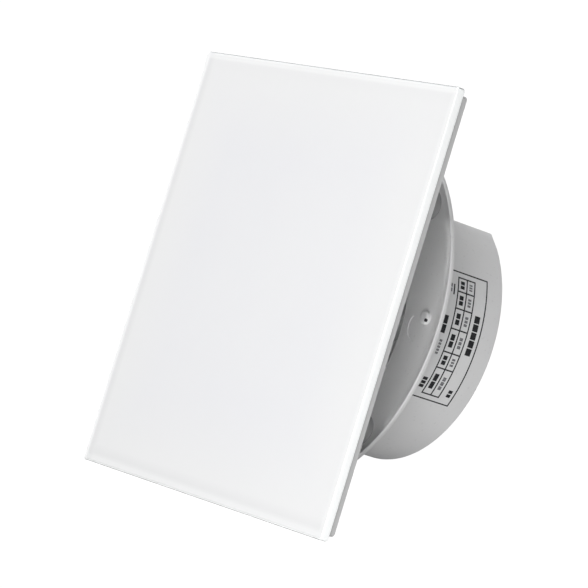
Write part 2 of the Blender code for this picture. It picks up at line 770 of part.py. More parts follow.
def make_guard(colours):
    half = GUARD_RING_WIDTH / 2
    step = (GUARD_RADIUS - half - GUARD_HUB_RADIUS) / GUARD_RINGS
    outlines = [guard_outline(), arc((0, AXIS_Z), GUARD_HUB_RADIUS - half, 0, 345, 23)]
    for index in range(GUARD_RINGS):
        middle = GUARD_HUB_RADIUS + index * step
        for spoke in range(GUARD_SPOKES):
            outlines.append(guard_opening(middle + half, middle + step - half, spoke))
    for angle in GUARD_EARS:
        ear = polar(angle, GUARD_EAR_CIRCLE, AXIS)
        outlines.append(arc((ear.x, ear.z), SMALL_SCREW_RADIUS + GAP, 0, 337.5, 15))
    plate("inlet_guard", outlines, GUARD_FRONT, GUARD_BACK, colours["white"])


def make_guard_screws(colours):
    head = (SMALL_HEAD_RADIUS, SMALL_HEAD_HEIGHT)
    front = GUARD_FRONT - GAP - SMALL_HEAD_HEIGHT
    for index, angle in enumerate(GUARD_EARS, 1):
        shank = (SMALL_SCREW_RADIUS, GUARD_SCREW_LENGTH)
        place = polar(angle, GUARD_EAR_CIRCLE, AXIS)
        slotted_screw(f"guard_screw_{index}", place, front, head, shank, colours["steel"])


# ---------------------------------------------------------------- impeller and rotor


def blade_mesh():
    """The middle surfaces of all the blades, twisted from root to tip."""
    shape = bmesh.new()
    along = 5
    across = 4
    root = HUB_RADIUS - 0.75 * HUB_WALL
    middle = HUB_FRONT + HUB_LENGTH / 2
    for blade in range(BLADES):
        base = 2 * math.pi * blade / BLADES
        grid = []
        for i in range(along + 1):
            part = i / along
            radius = root + (IMPELLER_RADIUS - root) * part
            span = BLADE_ROOT_TURN + (BLADE_TIP_TURN - BLADE_ROOT_TURN) * part
            rows = []
            for j in range(across + 1):
                chord = j / across - 0.5
                turn = base + BLADE_SWEEP * part**1.5 + span * chord
                lift = BLADE_CAMBER * (1 - 4 * chord**2)
                y = middle + BLADE_AXIAL * chord * (1 - BLADE_THINNING * part) - lift
                rows.append(shape.verts.new((radius * math.cos(turn), y, radius * math.sin(turn))))
            grid.append(rows)
        for i in range(along):
            for j in range(across):
                corners = (grid[i][j], grid[i + 1][j], grid[i + 1][j + 1], grid[i][j + 1])
                shape.faces.new(corners)
    bmesh.ops.recalc_face_normals(shape, faces=shape.faces)
    mesh = bpy.data.meshes.new("impeller_blades")
    shape.to_mesh(mesh)
    shape.free()
    return mesh


def make_impeller(colours):
    inner = HUB_RADIUS - HUB_WALL
    face = HUB_FRONT + HUB_WALL
    boss_back = HUB_BACK - HUB_WALL
    bore = SHAFT_RADIUS + PRESS_GAP
    rounding = HUB_ROUND * (1 - math.cos(math.pi / 4))
    hub = turned(
        "impeller",
        [
            (bore, HUB_FRONT),
            (HUB_RADIUS - HUB_ROUND, HUB_FRONT),
            (HUB_RADIUS - rounding, HUB_FRONT + rounding),
            (HUB_RADIUS, HUB_FRONT + HUB_ROUND),
            (HUB_RADIUS, HUB_BACK),
            (inner, HUB_BACK),
            (inner, face),
            (HUB_BOSS_RADIUS, face),
            (HUB_BOSS_RADIUS, boss_back),
            (bore, boss_back),
        ],
        colours["grey"],
        AXIS,
        42,
    )
    blades = add_object("impeller_blades", blade_mesh())
    blades.location = AXIS
    thick = blades.modifiers.new("thickness", "SOLIDIFY")
    thick.thickness = BLADE_THICKNESS
    thick.offset = 0
    join(hub, blades)


def make_impeller_nut(colours):
    back = HUB_FRONT - GAP
    front = SHAFT_FRONT - GAP
    outline = arc((0, AXIS_Z), 3 * MM, 0, 300, 5)
    hole = arc((0, AXIS_Z), SHAFT_RADIUS + PRESS_GAP, 0, 345, 23)
    plate("impeller_nut", [outline, hole], front + (back - front) / 4, back, colours["brass"])


def make_rotor(colours):
    cylinder("motor_shaft", SHAFT_RADIUS, SHAFT_FRONT, POD_FLOOR - 2 * GAP, colours["steel"], AXIS, 32)
    bore = SHAFT_RADIUS + PRESS_GAP
    front = STACK_FRONT - GAP
    back = STACK_BACK + GAP
    ring("rotor_core", bore, ROTOR_RADIUS, front, back, colours["lamination"], AXIS, 48)
    washer = (SHAFT_RADIUS + PRESS_GAP, WASHER_RADIUS)
    ring("front_thrust_washer", *washer, front - GAP - WASHER_THICKNESS, front - GAP, colours["fibre"], AXIS, 24)
    ring("rear_thrust_washer", *washer, back + GAP, back + GAP + WASHER_THICKNESS, colours["fibre"], AXIS, 24)


# ---------------------------------------------------------------- motor


def make_stator(colours):
    inner = STATOR_RADIUS - YOKE_WIDTH
    bore = ROTOR_RADIUS + AIR_GAP
    stack = (STACK_FRONT, STACK_BACK)
    deep = (STACK_FRONT + GAP / 2, STACK_BACK - GAP / 2)
    core = ring("stator_core", inner, STATOR_RADIUS, *stack, colours["lamination"], AXIS, 48)
    solids = [ring("pole_shoes", bore, bore + SHOE_THICKNESS, *stack, None, AXIS, 48)]
    half = POLE_WIDTH / 2
    for index in range(4):
        low = (bore + SHOE_THICKNESS / 2, deep[0], -half)
        high = (inner + YOKE_WIDTH / 2, deep[1], half)
        solids.append(box(f"pole_{index}", low, high, turn=math.pi / 2 * index, about=AXIS))
    for angle in BOLT_ANGLES:
        place = polar(angle, BOLT_CIRCLE, AXIS)
        solids.append(cylinder(f"stator_ear_{angle}", EAR_RADIUS, *deep, None, place, 24))
    join(core, *solids)
    cutters = bolt_holes("stator_hole", *stack)
    for index in range(4):
        low = (bore - SHOE_THICKNESS, STACK_FRONT - GAP, -SHOE_SPACE / 2)
        high = (bore + SHOE_THICKNESS + GAP, STACK_BACK + GAP, SHOE_SPACE / 2)
        turn = math.pi / 4 + math.pi / 2 * index
        cutters.append(box(f"shoe_space_{index}", low, high, turn=turn, about=AXIS))
        side = half - PRESS_GAP
        low = (bore - SHOE_THICKNESS, STACK_FRONT - GAP, side)
        high = (bore + 0.4 * MM, STACK_BACK + GAP, side + SHADING_SLOT)
        cutters.append(box(f"shading_slot_{index}", low, high, turn=math.pi / 2 * index, about=AXIS))
    cut(core, *cutters)


def make_windings(colours):
    bore = ROTOR_RADIUS + AIR_GAP
    near = bore + SHOE_THICKNESS + GAP
    corner = POLE_WIDTH / 2 + GAP + COIL_BUILD
    far = math.sqrt((STATOR_RADIUS - YOKE_WIDTH - GAP) ** 2 - corner**2)
    front = STACK_FRONT - COIL_OVERHANG
    back = STACK_BACK + COIL_OVERHANG
    for index in range(4):
        turn = math.pi / 2 * index
        name = f"winding_{index + 1}"
        coil = box(name, (near, front, -corner), (far, back, corner), colours["copper"], turn, AXIS, 0.8 * MM, 2)
        hole = POLE_WIDTH / 2 + GAP
        low = (near - GAP, STACK_FRONT - GAP, -hole)
        high = (far + GAP, STACK_BACK + GAP, hole)
        cut(coil, box(f"{name}_window", low, high, turn=turn, about=AXIS))


def make_shading_rings(colours):
    bore = ROTOR_RADIUS + AIR_GAP
    start = POLE_WIDTH / 2
    depth = (bore - 0.6 * MM, bore + 0.2 * MM)
    for index in range(4):
        turn = math.pi / 2 * index
        name = f"shading_ring_{index + 1}"
        front = STACK_FRONT - SHADING_WIRE - 2 * PRESS_GAP
        back = STACK_BACK + SHADING_WIRE + 2 * PRESS_GAP
        low = (depth[0], front, start)
        high = (depth[1], back, start + SHADING_SPAN)
        made = box(name, low, high, colours["copper"], turn, AXIS)
        low = (depth[0] - GAP, front + SHADING_WIRE, start + SHADING_WIRE)
        high = (depth[1] + GAP, back - SHADING_WIRE, start + SHADING_SPAN - SHADING_WIRE)
        cut(made, box(name + "_window", low, high, turn=turn, about=AXIS))


def make_bridge(name, plane, legs, boss, bush, colours):
    """A bearing bridge across the stator: plane, legs and boss are (front, back) along Y."""
    boss_radius = BUSH_RADIUS + PRESS_GAP + BRIDGE_BOSS_WALL
    half = BRIDGE_WIDTH / 2
    low = (-BOLT_CIRCLE, plane[0], -half)
    high = (BOLT_CIRCLE, plane[1], half)
    bridge = box(name, low, high, colours["aluminium"], math.radians(45), AXIS)
    solids = [cylinder(name + "_boss", boss_radius, *boss, None, AXIS, 28)]
    for angle in BOLT_ANGLES:
        place = polar(angle, BOLT_CIRCLE, AXIS)
        solids.append(cylinder(f"{name}_leg_{angle}", EAR_RADIUS, *legs, None, place, 20))
    join(bridge, *solids)
    seat = BUSH_RADIUS + PRESS_GAP
    cutters = bolt_holes(name + "_hole", *legs)
    cutters.append(cylinder(name + "_seat", seat, boss[0] - GAP, boss[1] + GAP, None, AXIS, 28))
    cut(bridge, *cutters)
    bore = SHAFT_RADIUS + SHAFT_CLEARANCE
    ring(bush, bore, BUSH_RADIUS, *boss, colours["bronze"], AXIS, 28)


def make_bearings(colours):
    front_end = STACK_FRONT - 3 * GAP - WASHER_THICKNESS
    make_bridge(
        "front_bearing_bridge",
        (FRONT_BRIDGE, FRONT_BRIDGE + BRIDGE_THICKNESS),
        (FRONT_BRIDGE - GAP / 2, STACK_FRONT - GAP),
        (front_end - BUSH_LENGTH, front_end),
        "front_bearing",
        colours,
    )
    rear_start = STACK_BACK + 3 * GAP + WASHER_THICKNESS
    make_bridge(
        "rear_bearing_bridge",
        (REAR_BRIDGE, REAR_BRIDGE + BRIDGE_THICKNESS),
        (STACK_BACK + GAP, REAR_BRIDGE + BRIDGE_THICKNESS + GAP / 2),
        (rear_start, rear_start + REAR_BUSH_LENGTH),
        "rear_bearing",
        colours,
    )


def make_motor_bolts(colours):
    front = FRONT_BRIDGE - 1.5 * GAP - BOLT_HEAD_HEIGHT
    length = POD_BACK - GAP - front - BOLT_HEAD_HEIGHT
    for index, angle in enumerate(BOLT_ANGLES, 1):
        head = (BOLT_HEAD_RADIUS, BOLT_HEAD_HEIGHT)
        place = polar(angle, BOLT_CIRCLE, AXIS)
        slotted_screw(f"motor_bolt_{index}", place, front, head, (BOLT_RADIUS, length), colours["steel"])


def make_motor_cap(colours):
    back = POD_FRONT - GAP
    front = back - CAP_THICKNESS
    lip_outer = POD_INNER - GAP
    lip_inner = lip_outer - CAP_THICKNESS
    turned(
        "motor_cap",
        [
            (CAP_BORE, front),
            (POD_RADIUS - CAP_THICKNESS / 2, front),
            (POD_RADIUS, front + CAP_THICKNESS / 2),
            (POD_RADIUS, back),
            (lip_outer, back),
            (lip_outer, back + CAP_LIP),
            (lip_inner, back + CAP_LIP),
            (lip_inner, back),
            (CAP_BORE, back),
        ],
        colours["white"],
        AXIS,
        40,
    )


def make_thermal_cutout(colours):
    back = STACK_FRONT - COIL_OVERHANG - GAP
    low = (-16 * MM, back - 2.2 * MM, 0.6 * MM)
    high = (-10.4 * MM, back, 5.4 * MM)
    box("thermal_cutout", low, high, colours["black"], about=AXIS, bevel=0.3 * MM, segments=1)


# ---------------------------------------------------------------- terminal compartment


def pole_x(index):
    return BLOCK_CENTRE_X + (index - (POLES - 1) / 2) * POLE_PITCH


def make_terminal_block(colours):
    half = BLOCK_WIDTH / 2
    low = (BLOCK_CENTRE_X - half, BLOCK_FRONT, BLOCK_MIDDLE - BLOCK_HEIGHT / 2)
    high = (BLOCK_CENTRE_X + half, BLOCK_BACK, BLOCK_MIDDLE + BLOCK_HEIGHT / 2)
    block = box("terminal_block", low, high, colours["black"], bevel=0.4 * MM, segments=1)
    cutters = []
    for index in range(POLES):
        x = pole_x(index)
        place = Vector((x, 0, BLOCK_MIDDLE))
        front = BLOCK_FRONT - GAP
        cutters.append(cylinder(f"terminal_well_{index}", WELL_RADIUS, front, WELL_FLOOR, None, place, 16))
        low = (x - WIRE_ENTRY, WELL_FLOOR - 2 * WIRE_ENTRY, BLOCK_MIDDLE - BLOCK_HEIGHT)
        high = (x + WIRE_ENTRY, WELL_FLOOR - GAP, BLOCK_MIDDLE + BLOCK_HEIGHT)
        cutters.append(box(f"wire_entry_{index}", low, high))
    cut(block, *cutters)


def make_terminal_screws(colours):
    for index in range(POLES):
        place = Vector((pole_x(index), 0, BLOCK_MIDDLE))
        front = WELL_FLOOR - 2 * WIRE_ENTRY - TERMINAL_SCREW_LENGTH + 2 * GAP
        head = (TERMINAL_SCREW_RADIUS, TERMINAL_SCREW_LENGTH / 2)
        shank = (0.75 * TERMINAL_SCREW_RADIUS, TERMINAL_SCREW_LENGTH / 2)
        slotted_screw(f"terminal_screw_{index + 1}", place, front, head, shank, colours["brass"], 0.5 * MM)


def make_lead(name, pole, x, colour):
    """A motor lead: terminal block, flange, spigot's flat, motor pod."""
    entry = WELL_FLOOR - WIRE_ENTRY
    level = FLAT_HEIGHT + LEAD_LIFT + LEAD_RADIUS
    bend = LEAD_BEND
    start = pole_x(pole)
    height = LEAD_HOLE_HEIGHT
    points = [
        (start, entry, BLOCK_MIDDLE - BLOCK_HEIGHT / 2 + bend),
        (start, entry, height + bend),
        (start + (x - start) / 3, entry + bend / 2, height),
        (x, FLOOR_FRONT - bend, height),
        (x, LEAD_BEHIND - bend, height),
        (x, LEAD_BEHIND, height - bend),
        (x, LEAD_BEHIND, level + bend),
        (x, LEAD_BEHIND + bend, level),
        (x, LEAD_DROP_Y - bend, level),
        (x, LEAD_DROP_Y, level - bend),
        (x, LEAD_DROP_Y, AXIS_Z + LEAD_END),
    ]
    curve = bpy.data.curves.new(name, "CURVE")
    curve.dimensions = "3D"
    curve.bevel_depth = LEAD_RADIUS
    curve.bevel_resolution = 1
    curve.use_fill_caps = True
    spline = curve.splines.new("POLY")
    spline.points.add(len(points) - 1)
    for point, place in zip(spline.points, points):
        point.co = (*place, 1)
    mesh_of_curve(name, curve, Matrix.Identity(4), colour)


def make_terminal_cover(colours):
    low = (-COVER_HALF_WIDTH, COVER_FRONT, COVER_BOTTOM)
    high = (COVER_HALF_WIDTH, COVER_BACK, COVER_BOTTOM + COVER_HEIGHT)
    cover = box("terminal_cover", low, high, colours["white"], bevel=COVER_EDGE, segments=2)
    inner = COVER_HALF_WIDTH - COVER_WALL
    low = (-inner, COVER_FRONT + COVER_WALL, COVER_BOTTOM + COVER_WALL)
    high = (inner, COVER_BACK + COVER_EDGE, COVER_BOTTOM + COVER_HEIGHT - COVER_WALL)
    place = Vector((COVER_SCREW_X, 0, COVER_MIDDLE))
    hole = SMALL_SCREW_RADIUS + GAP
    front = COVER_FRONT - GAP
    through = cylinder("cover_hole", hole, front, COVER_FRONT + COVER_WALL + GAP, None, place, 16)
    cut(cover, box("cover_hollow", low, high), through)
    head = (SMALL_HEAD_RADIUS, SMALL_HEAD_HEIGHT)
    shank = (SMALL_SCREW_RADIUS, COVER_WALL + 7 * MM)
    start = front - SMALL_HEAD_HEIGHT
    slotted_screw("terminal_cover_screw", place, start, head, shank, colours["steel"])


def make_cable_grommet(colours):
    cable = Vector((CABLE_X, 0, CABLE_HEIGHT))
    front = FLOOR_FRONT - GAP
    profile = [
        (GROMMET_BORE, front - GROMMET_LIP),
        (GROMMET_FLANGE - 0.4 * MM, front - GROMMET_LIP),
        (GROMMET_FLANGE, front - GROMMET_LIP + 0.4 * MM),
        (GROMMET_FLANGE, front),
        (GROMMET_NECK, front),
        (GROMMET_NECK, GAP),
        (GROMMET_FLANGE, GAP),
        (GROMMET_FLANGE - 0.6 * MM, GAP + GROMMET_LIP),
        (GROMMET_BORE, GAP + GROMMET_LIP),
    ]
    turned("cable_grommet", profile, colours["rubber"], cable, 24)


def make_cable_clamp(colours):
    """An upright bar beside the grommet, with a screw at each end."""
    half = CLAMP_WIDTH / 2
    low = (CLAMP_X - half, CLAMP_FRONT, COVER_MIDDLE - CLAMP_SPACING / 2)
    high = (CLAMP_X + half, CLAMP_FRONT + CLAMP_THICKNESS, COVER_MIDDLE + CLAMP_SPACING / 2)
    clamp = box("cable_clamp", low, high, colours["white"])
    head = (0.8 * SMALL_HEAD_RADIUS, SMALL_HEAD_HEIGHT)
    shank = (SMALL_SCREW_RADIUS, CLAMP_THICKNESS + 4 * MM)
    front = CLAMP_FRONT - GAP - SMALL_HEAD_HEIGHT
    span = (CLAMP_FRONT - GAP / 2, CLAMP_FRONT + CLAMP_THICKNESS + GAP / 2)
    hole = SMALL_SCREW_RADIUS + GAP
    spots = [Vector((CLAMP_X, 0, COVER_MIDDLE + side * CLAMP_SPACING / 2)) for side in (-1, 1)]
    join(clamp, *[cylinder(f"clamp_end_{i}", CLAMP_END, *span, None, place, 20) for i, place in enumerate(spots)])
    through = (span[0] - GAP, span[1] + GAP)
    cut(clamp, *[cylinder(f"clamp_hole_{i}", hole, *through, None, place, 12) for i, place in enumerate(spots)])
    for index, place in enumerate(spots, 1):
        slotted_screw(f"clamp_screw_{index}", place, front - GAP / 2, head, shank, colours["steel"], 0.6 * MM)


# ---------------------------------------------------------------- assembly


def clear_scene():
    for item in list(bpy.data.objects):
        bpy.data.objects.remove(item, do_unlink=True)


def main():
    clear_scene()
    new_collection(PARTS)
    new_collection(CUTTERS).hide_render = True
    colours = make_finishes()
    make_glass_panel(colours)
    make_tapes(colours)
    make_carrier(colours)
    make_fan_body(colours)
    make_guard(colours)
    make_guard_screws(colours)
    make_impeller(colours)
    make_impeller_nut(colours)
    make_rotor(colours)
    make_stator(colours)
    make_windings(colours)
    make_shading_rings(colours)
    make_bearings(colours)
    make_motor_bolts(colours)
    make_motor_cap(colours)
    make_thermal_cutout(colours)
    make_terminal_block(colours)
    make_terminal_screws(colours)
    make_lead("motor_lead_live", 0, -LEAD_SPACING / 2, colours["brown"])
    make_lead("motor_lead_neutral", 1, LEAD_SPACING / 2, colours["blue"])
    make_terminal_cover(colours)
    make_cable_grommet(colours)
    make_cable_clamp(colours)


main()
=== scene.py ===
"""Looks of a slim bathroom extractor fan: a floating square glass front on a round moulded fan.

Everything is in metres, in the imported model's own frame: the spigot's axis lies along Y, the wall is the
plane Y = 0, the room is at -Y and +Z is up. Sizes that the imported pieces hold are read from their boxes.
"""

import logging
import math
from collections.abc import Sequence
from dataclasses import dataclass
from enum import Enum

import bmesh
import bpy
from mathutils import Matrix, Vector
from mathutils.geometry import tessellate_polygon


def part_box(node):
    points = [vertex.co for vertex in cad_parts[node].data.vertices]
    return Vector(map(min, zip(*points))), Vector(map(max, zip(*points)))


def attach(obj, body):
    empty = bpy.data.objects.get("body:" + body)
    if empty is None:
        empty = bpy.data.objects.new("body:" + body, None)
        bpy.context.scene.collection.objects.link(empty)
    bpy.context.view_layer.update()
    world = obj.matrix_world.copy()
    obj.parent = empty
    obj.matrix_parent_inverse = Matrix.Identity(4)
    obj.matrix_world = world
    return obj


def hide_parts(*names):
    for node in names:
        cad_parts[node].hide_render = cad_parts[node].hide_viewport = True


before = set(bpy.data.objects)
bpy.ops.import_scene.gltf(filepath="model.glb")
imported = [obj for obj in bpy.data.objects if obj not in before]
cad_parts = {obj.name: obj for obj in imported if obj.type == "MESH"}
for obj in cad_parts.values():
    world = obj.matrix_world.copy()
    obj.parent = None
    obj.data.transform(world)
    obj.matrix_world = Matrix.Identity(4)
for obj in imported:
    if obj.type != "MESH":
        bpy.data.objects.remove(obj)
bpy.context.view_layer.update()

log = logging.getLogger("bathroom_fan")

MM = 0.001
MID_NOISE = (0.3, 0.7)  # where most of a noise field's values lie
UNIT = (0.0, 1.0)
WAVE_BANDS = 3.2  # bands that a wave texture draws in one unit of its scale
CREASE = 35.0  # edges sharper than this many degrees stay sharp
FINE_TURN = 240  # faces round the flange
STRAIGHT = 0.01  # a corner nearer to straight than this many radians isn't rounded
SHARPEST = 0.3  # keeps a sharp corner from moving too far when its outline is moved inwards

Point = tuple[float, float]
Outline = list[Point]
Corner = tuple[float, float, float]
Colour = tuple[float, float, float]
Place = tuple[float, float, float]
Words = tuple[Point, Point, int]  # a row of bars: Y in millimetres, angles in degrees, how many
Socket = bpy.types.NodeSocket
Piece = bpy.types.Object
Loop = Sequence[bmesh.types.BMVert]


class Body(Enum):
    """The moving groups that a piece can belong to."""

    BASE = "base"
    ROTOR = "rotor"
    PANEL = "front_panel"
    COVER = "cover"


class Slot(Enum):
    """Names of the record's finishes, passed along with new pieces."""

    GLASS = "glass"
    WHITE = "white"
    GREY = "grey"
    BLACK = "black"
    RUBBER = "rubber"
    STEEL = "steel"
    BRASS = "brass"
    BROWN = "brown"
    BLUE = "blue"


# ---------------------------------------------------------------- node work


class NodeBench:
    """Adds and joins the shader nodes of one material."""

    def __init__(self, name: str) -> None:
        """Starts a material with a Principled shader.

        Args:
            name: the material's name.
        """
        self.material = bpy.data.materials.new(name)
        self.material.use_nodes = True
        self.tree = self.material.node_tree
        self.shader = self.tree.nodes["Principled BSDF"]

    def add(self, kind: str, **settings: object) -> bpy.types.Node:
        """Adds a node and sets its options.

        Args:
            kind: the node's type name, without its ShaderNode prefix.
            **settings: attributes to set on the node.

        Returns:
            The new node.
        """
        node = self.tree.nodes.new("ShaderNode" + kind)
        for key, value in settings.items():
            setattr(node, key, value)
        return node

    def join(self, source: Socket, target: Socket) -> None:
        """Links an output to an input."""
        self.tree.links.new(source, target)

    def feed(self, target: Socket, value: object) -> None:
        """Links a socket, or sets a plain value, on an input.

        Args:
            target: the input.
            value: a socket or a plain value.
        """
        if isinstance(value, Socket):
            self.join(value, target)
        else:
            target.default_value = value

    def place(self) -> Socket:
        """The point on the piece, in metres, in the frame's own axes at rest."""
        return self.add("TexCoord").outputs["Object"]

    def stretched(self, scale: Sequence[float]) -> Socket:
        """The point on the piece with each axis scaled, for drawn-out textures.

        Args:
            scale: the factor along each axis.

        Returns:
            The scaled point's socket.
        """
        node = self.add("Mapping")
        self.join(self.place(), node.inputs["Vector"])
        node.inputs["Scale"].default_value = scale
        return node.outputs["Vector"]

    def noise(self, scale: float, detail: float = 2, point: Socket | None = None) -> Socket:
        """A noise field between about 0.25 and 0.75.

        Args:
            scale: features to a metre.
            detail: octaves of finer noise.
            point: where to read it, the point on the piece if none is given.

        Returns:
            The value's socket.
        """
        node = self.add("TexNoise")
        self.join(point or self.place(), node.inputs["Vector"])
        node.inputs["Scale"].default_value = scale
        node.inputs["Detail"].default_value = detail
        return node.outputs["Fac"]

    def wave(self, pitch: float, axis: str = "Y") -> Socket:
        """Even bands along one axis, for laminations and wound wire.

        Args:
            pitch: the width of one band, in metres.
            axis: the axis that the bands follow one another along.

        Returns:
            The value's socket.
        """
        node = self.add("TexWave", bands_direction=axis)
        self.join(self.place(), node.inputs["Vector"])
        node.inputs["Scale"].default_value = 1 / (pitch * WAVE_BANDS)
        return node.outputs["Fac"]

    def math(self, operation: str, first: object, second: object = 0.0) -> Socket:
        """One arithmetic step between two values.

        Args:
            operation: the step's name.
            first: the first value or socket.
            second: the second value or socket.

        Returns:
            The result's socket.
        """
        node = self.add("Math", operation=operation)
        self.feed(node.inputs[0], first)
        self.feed(node.inputs[1], second)
        return node.outputs[0]

    def largest(self, values: Sequence[object]) -> Socket:
        """The greatest of several values.

        Args:
            values: values or sockets, at least two.

        Returns:
            The greatest one's socket.
        """
        found = values[0]
        for value in values[1:]:
            found = self.math("MAXIMUM", found, value)
        return found

    def ranged(self, value: object, span: Point, result: Point) -> Socket:
        """A value carried from one span to another, held at its ends.

        Args:
            value: the value or its socket.
            span: the ends that it is read between.
            result: what those ends become.

        Returns:
            The new value's socket.
        """
        node = self.add("MapRange")
        self.feed(node.inputs["Value"], value)
        node.inputs["From Min"].default_value, node.inputs["From Max"].default_value = span
        node.inputs["To Min"].default_value, node.inputs["To Max"].default_value = result
        return node.outputs["Result"]

    def blend(self, share: object, first: object, second: object) -> Socket:
        """A colour between two colours.

        Args:
            share: how much of the second, as a value or socket.
            first: a colour or socket.
            second: a colour or socket.

        Returns:
            The mixed colour's socket.
        """
        node = self.add("Mix", data_type="RGBA")
        self.feed(node.inputs["Factor"], share)
        for socket, colour in ((node.inputs["A"], first), (node.inputs["B"], second)):
            self.feed_colour(node, socket.name, colour)
        return next(o for o in node.outputs if o.type == "RGBA")

    def feed_colour(self, node: bpy.types.Node, name: str, colour: object) -> None:
        """Sets or links the colour input of that name on a mixing node."""
        target = next(i for i in node.inputs if i.name == name and i.type == "RGBA")
        self.feed(target, colour if isinstance(colour, Socket) else (*colour, 1))

    def relief(self, layers: Sequence[tuple[object, float]]) -> None:
        """Lays bumps on the shader's normal.

        Args:
            layers: each height field with its depth in metres.
        """
        normal = None
        for height, depth in layers:
            node = self.add("Bump")
            node.inputs["Distance"].default_value = depth
            node.inputs["Strength"].default_value = 1.0
            self.feed(node.inputs["Height"], height)
            if normal is not None:
                self.join(normal, node.inputs["Normal"])
            normal = node.outputs["Normal"]
        self.join(normal, self.shader.inputs["Normal"])

    def edges(self, low: float = 0.5, high: float = 0.62) -> Socket:
        """1 on sharp outer edges and 0 elsewhere, from how sharply the surface turns; worn edges on metal,
        a painted highlight on plastic.
        """
        pointiness = self.add("NewGeometry").outputs["Pointiness"]
        return self.ranged(pointiness, (low, high), UNIT)

    def put(self, **values: object) -> None:
        """Sets or links the shader's inputs; an underscore in a name stands for a space."""
        for key, value in values.items():
            self.feed(self.shader.inputs[key.replace("_", " ")], value)


# ---------------------------------------------------------------- finishes


@dataclass(frozen=True)
class Finish:
    """What every finish has: a name and a colour."""

    name: str
    colour: Colour

    def shade(self, share: float) -> Colour:
        """The finish's colour made lighter or darker by a share."""
        return tuple(min(1.0, part * share) for part in self.colour)

    def made(self) -> bpy.types.Material:
        """The material, made once and then shared.

        Returns:
            The material.
        """
        found = bpy.data.materials.get(self.name)
        if found:
            return found
        bench = NodeBench(self.name)
        self.make(bench)
        return bench.material

    def make(self, bench: NodeBench) -> None:
        """Joins up the finish's nodes; each kind of finish has its own way."""
        raise NotImplementedError


@dataclass(frozen=True)
class MouldedPlastic(Finish):
    """Injection-moulded plastic: a fine satin grain, faint flow marks, and a painted highlight that makes
    sharp outer edges lighter.
    """

    roughness: float = 0.42
    grain: float = 2600.0
    grain_depth: float = 0.006 * MM
    specks: float = 0.0
    speck_scale: float = 900.0
    flow: float = 26.0
    flow_depth: float = 0.02 * MM
    smear: float = 90.0
    edge_lightening: float = 0.35

    def make(self, bench: NodeBench) -> None:
        """Builds the plastic.

        Args:
            bench: the nodes of its material.
        """
        flow = bench.noise(self.flow, 4)
        base = bench.blend(bench.ranged(flow, MID_NOISE, UNIT), self.shade(0.975), self.shade(1.02))
        # painted highlight: sharp outer edges lighter, standing in for light that rounded edges catch
        surface_colour = bench.blend(bench.math("MULTIPLY", bench.edges(), self.edge_lightening), base, self.shade(1.08))
        if self.specks:
            dots = bench.ranged(bench.noise(self.speck_scale, 0), (0.74, 0.8), (0, self.specks))
            surface_colour = bench.blend(dots, surface_colour, self.shade(0.45))
        grain = bench.noise(self.grain, 2)
        smear = bench.noise(self.smear, 3)
        rough = bench.ranged(smear, MID_NOISE, (self.roughness - 0.05, self.roughness + 0.06))
        bench.put(Base_Color=surface_colour, Roughness=rough, IOR=1.5, Specular_IOR_Level=0.45)
        bench.relief([(flow, self.flow_depth), (grain, self.grain_depth)])


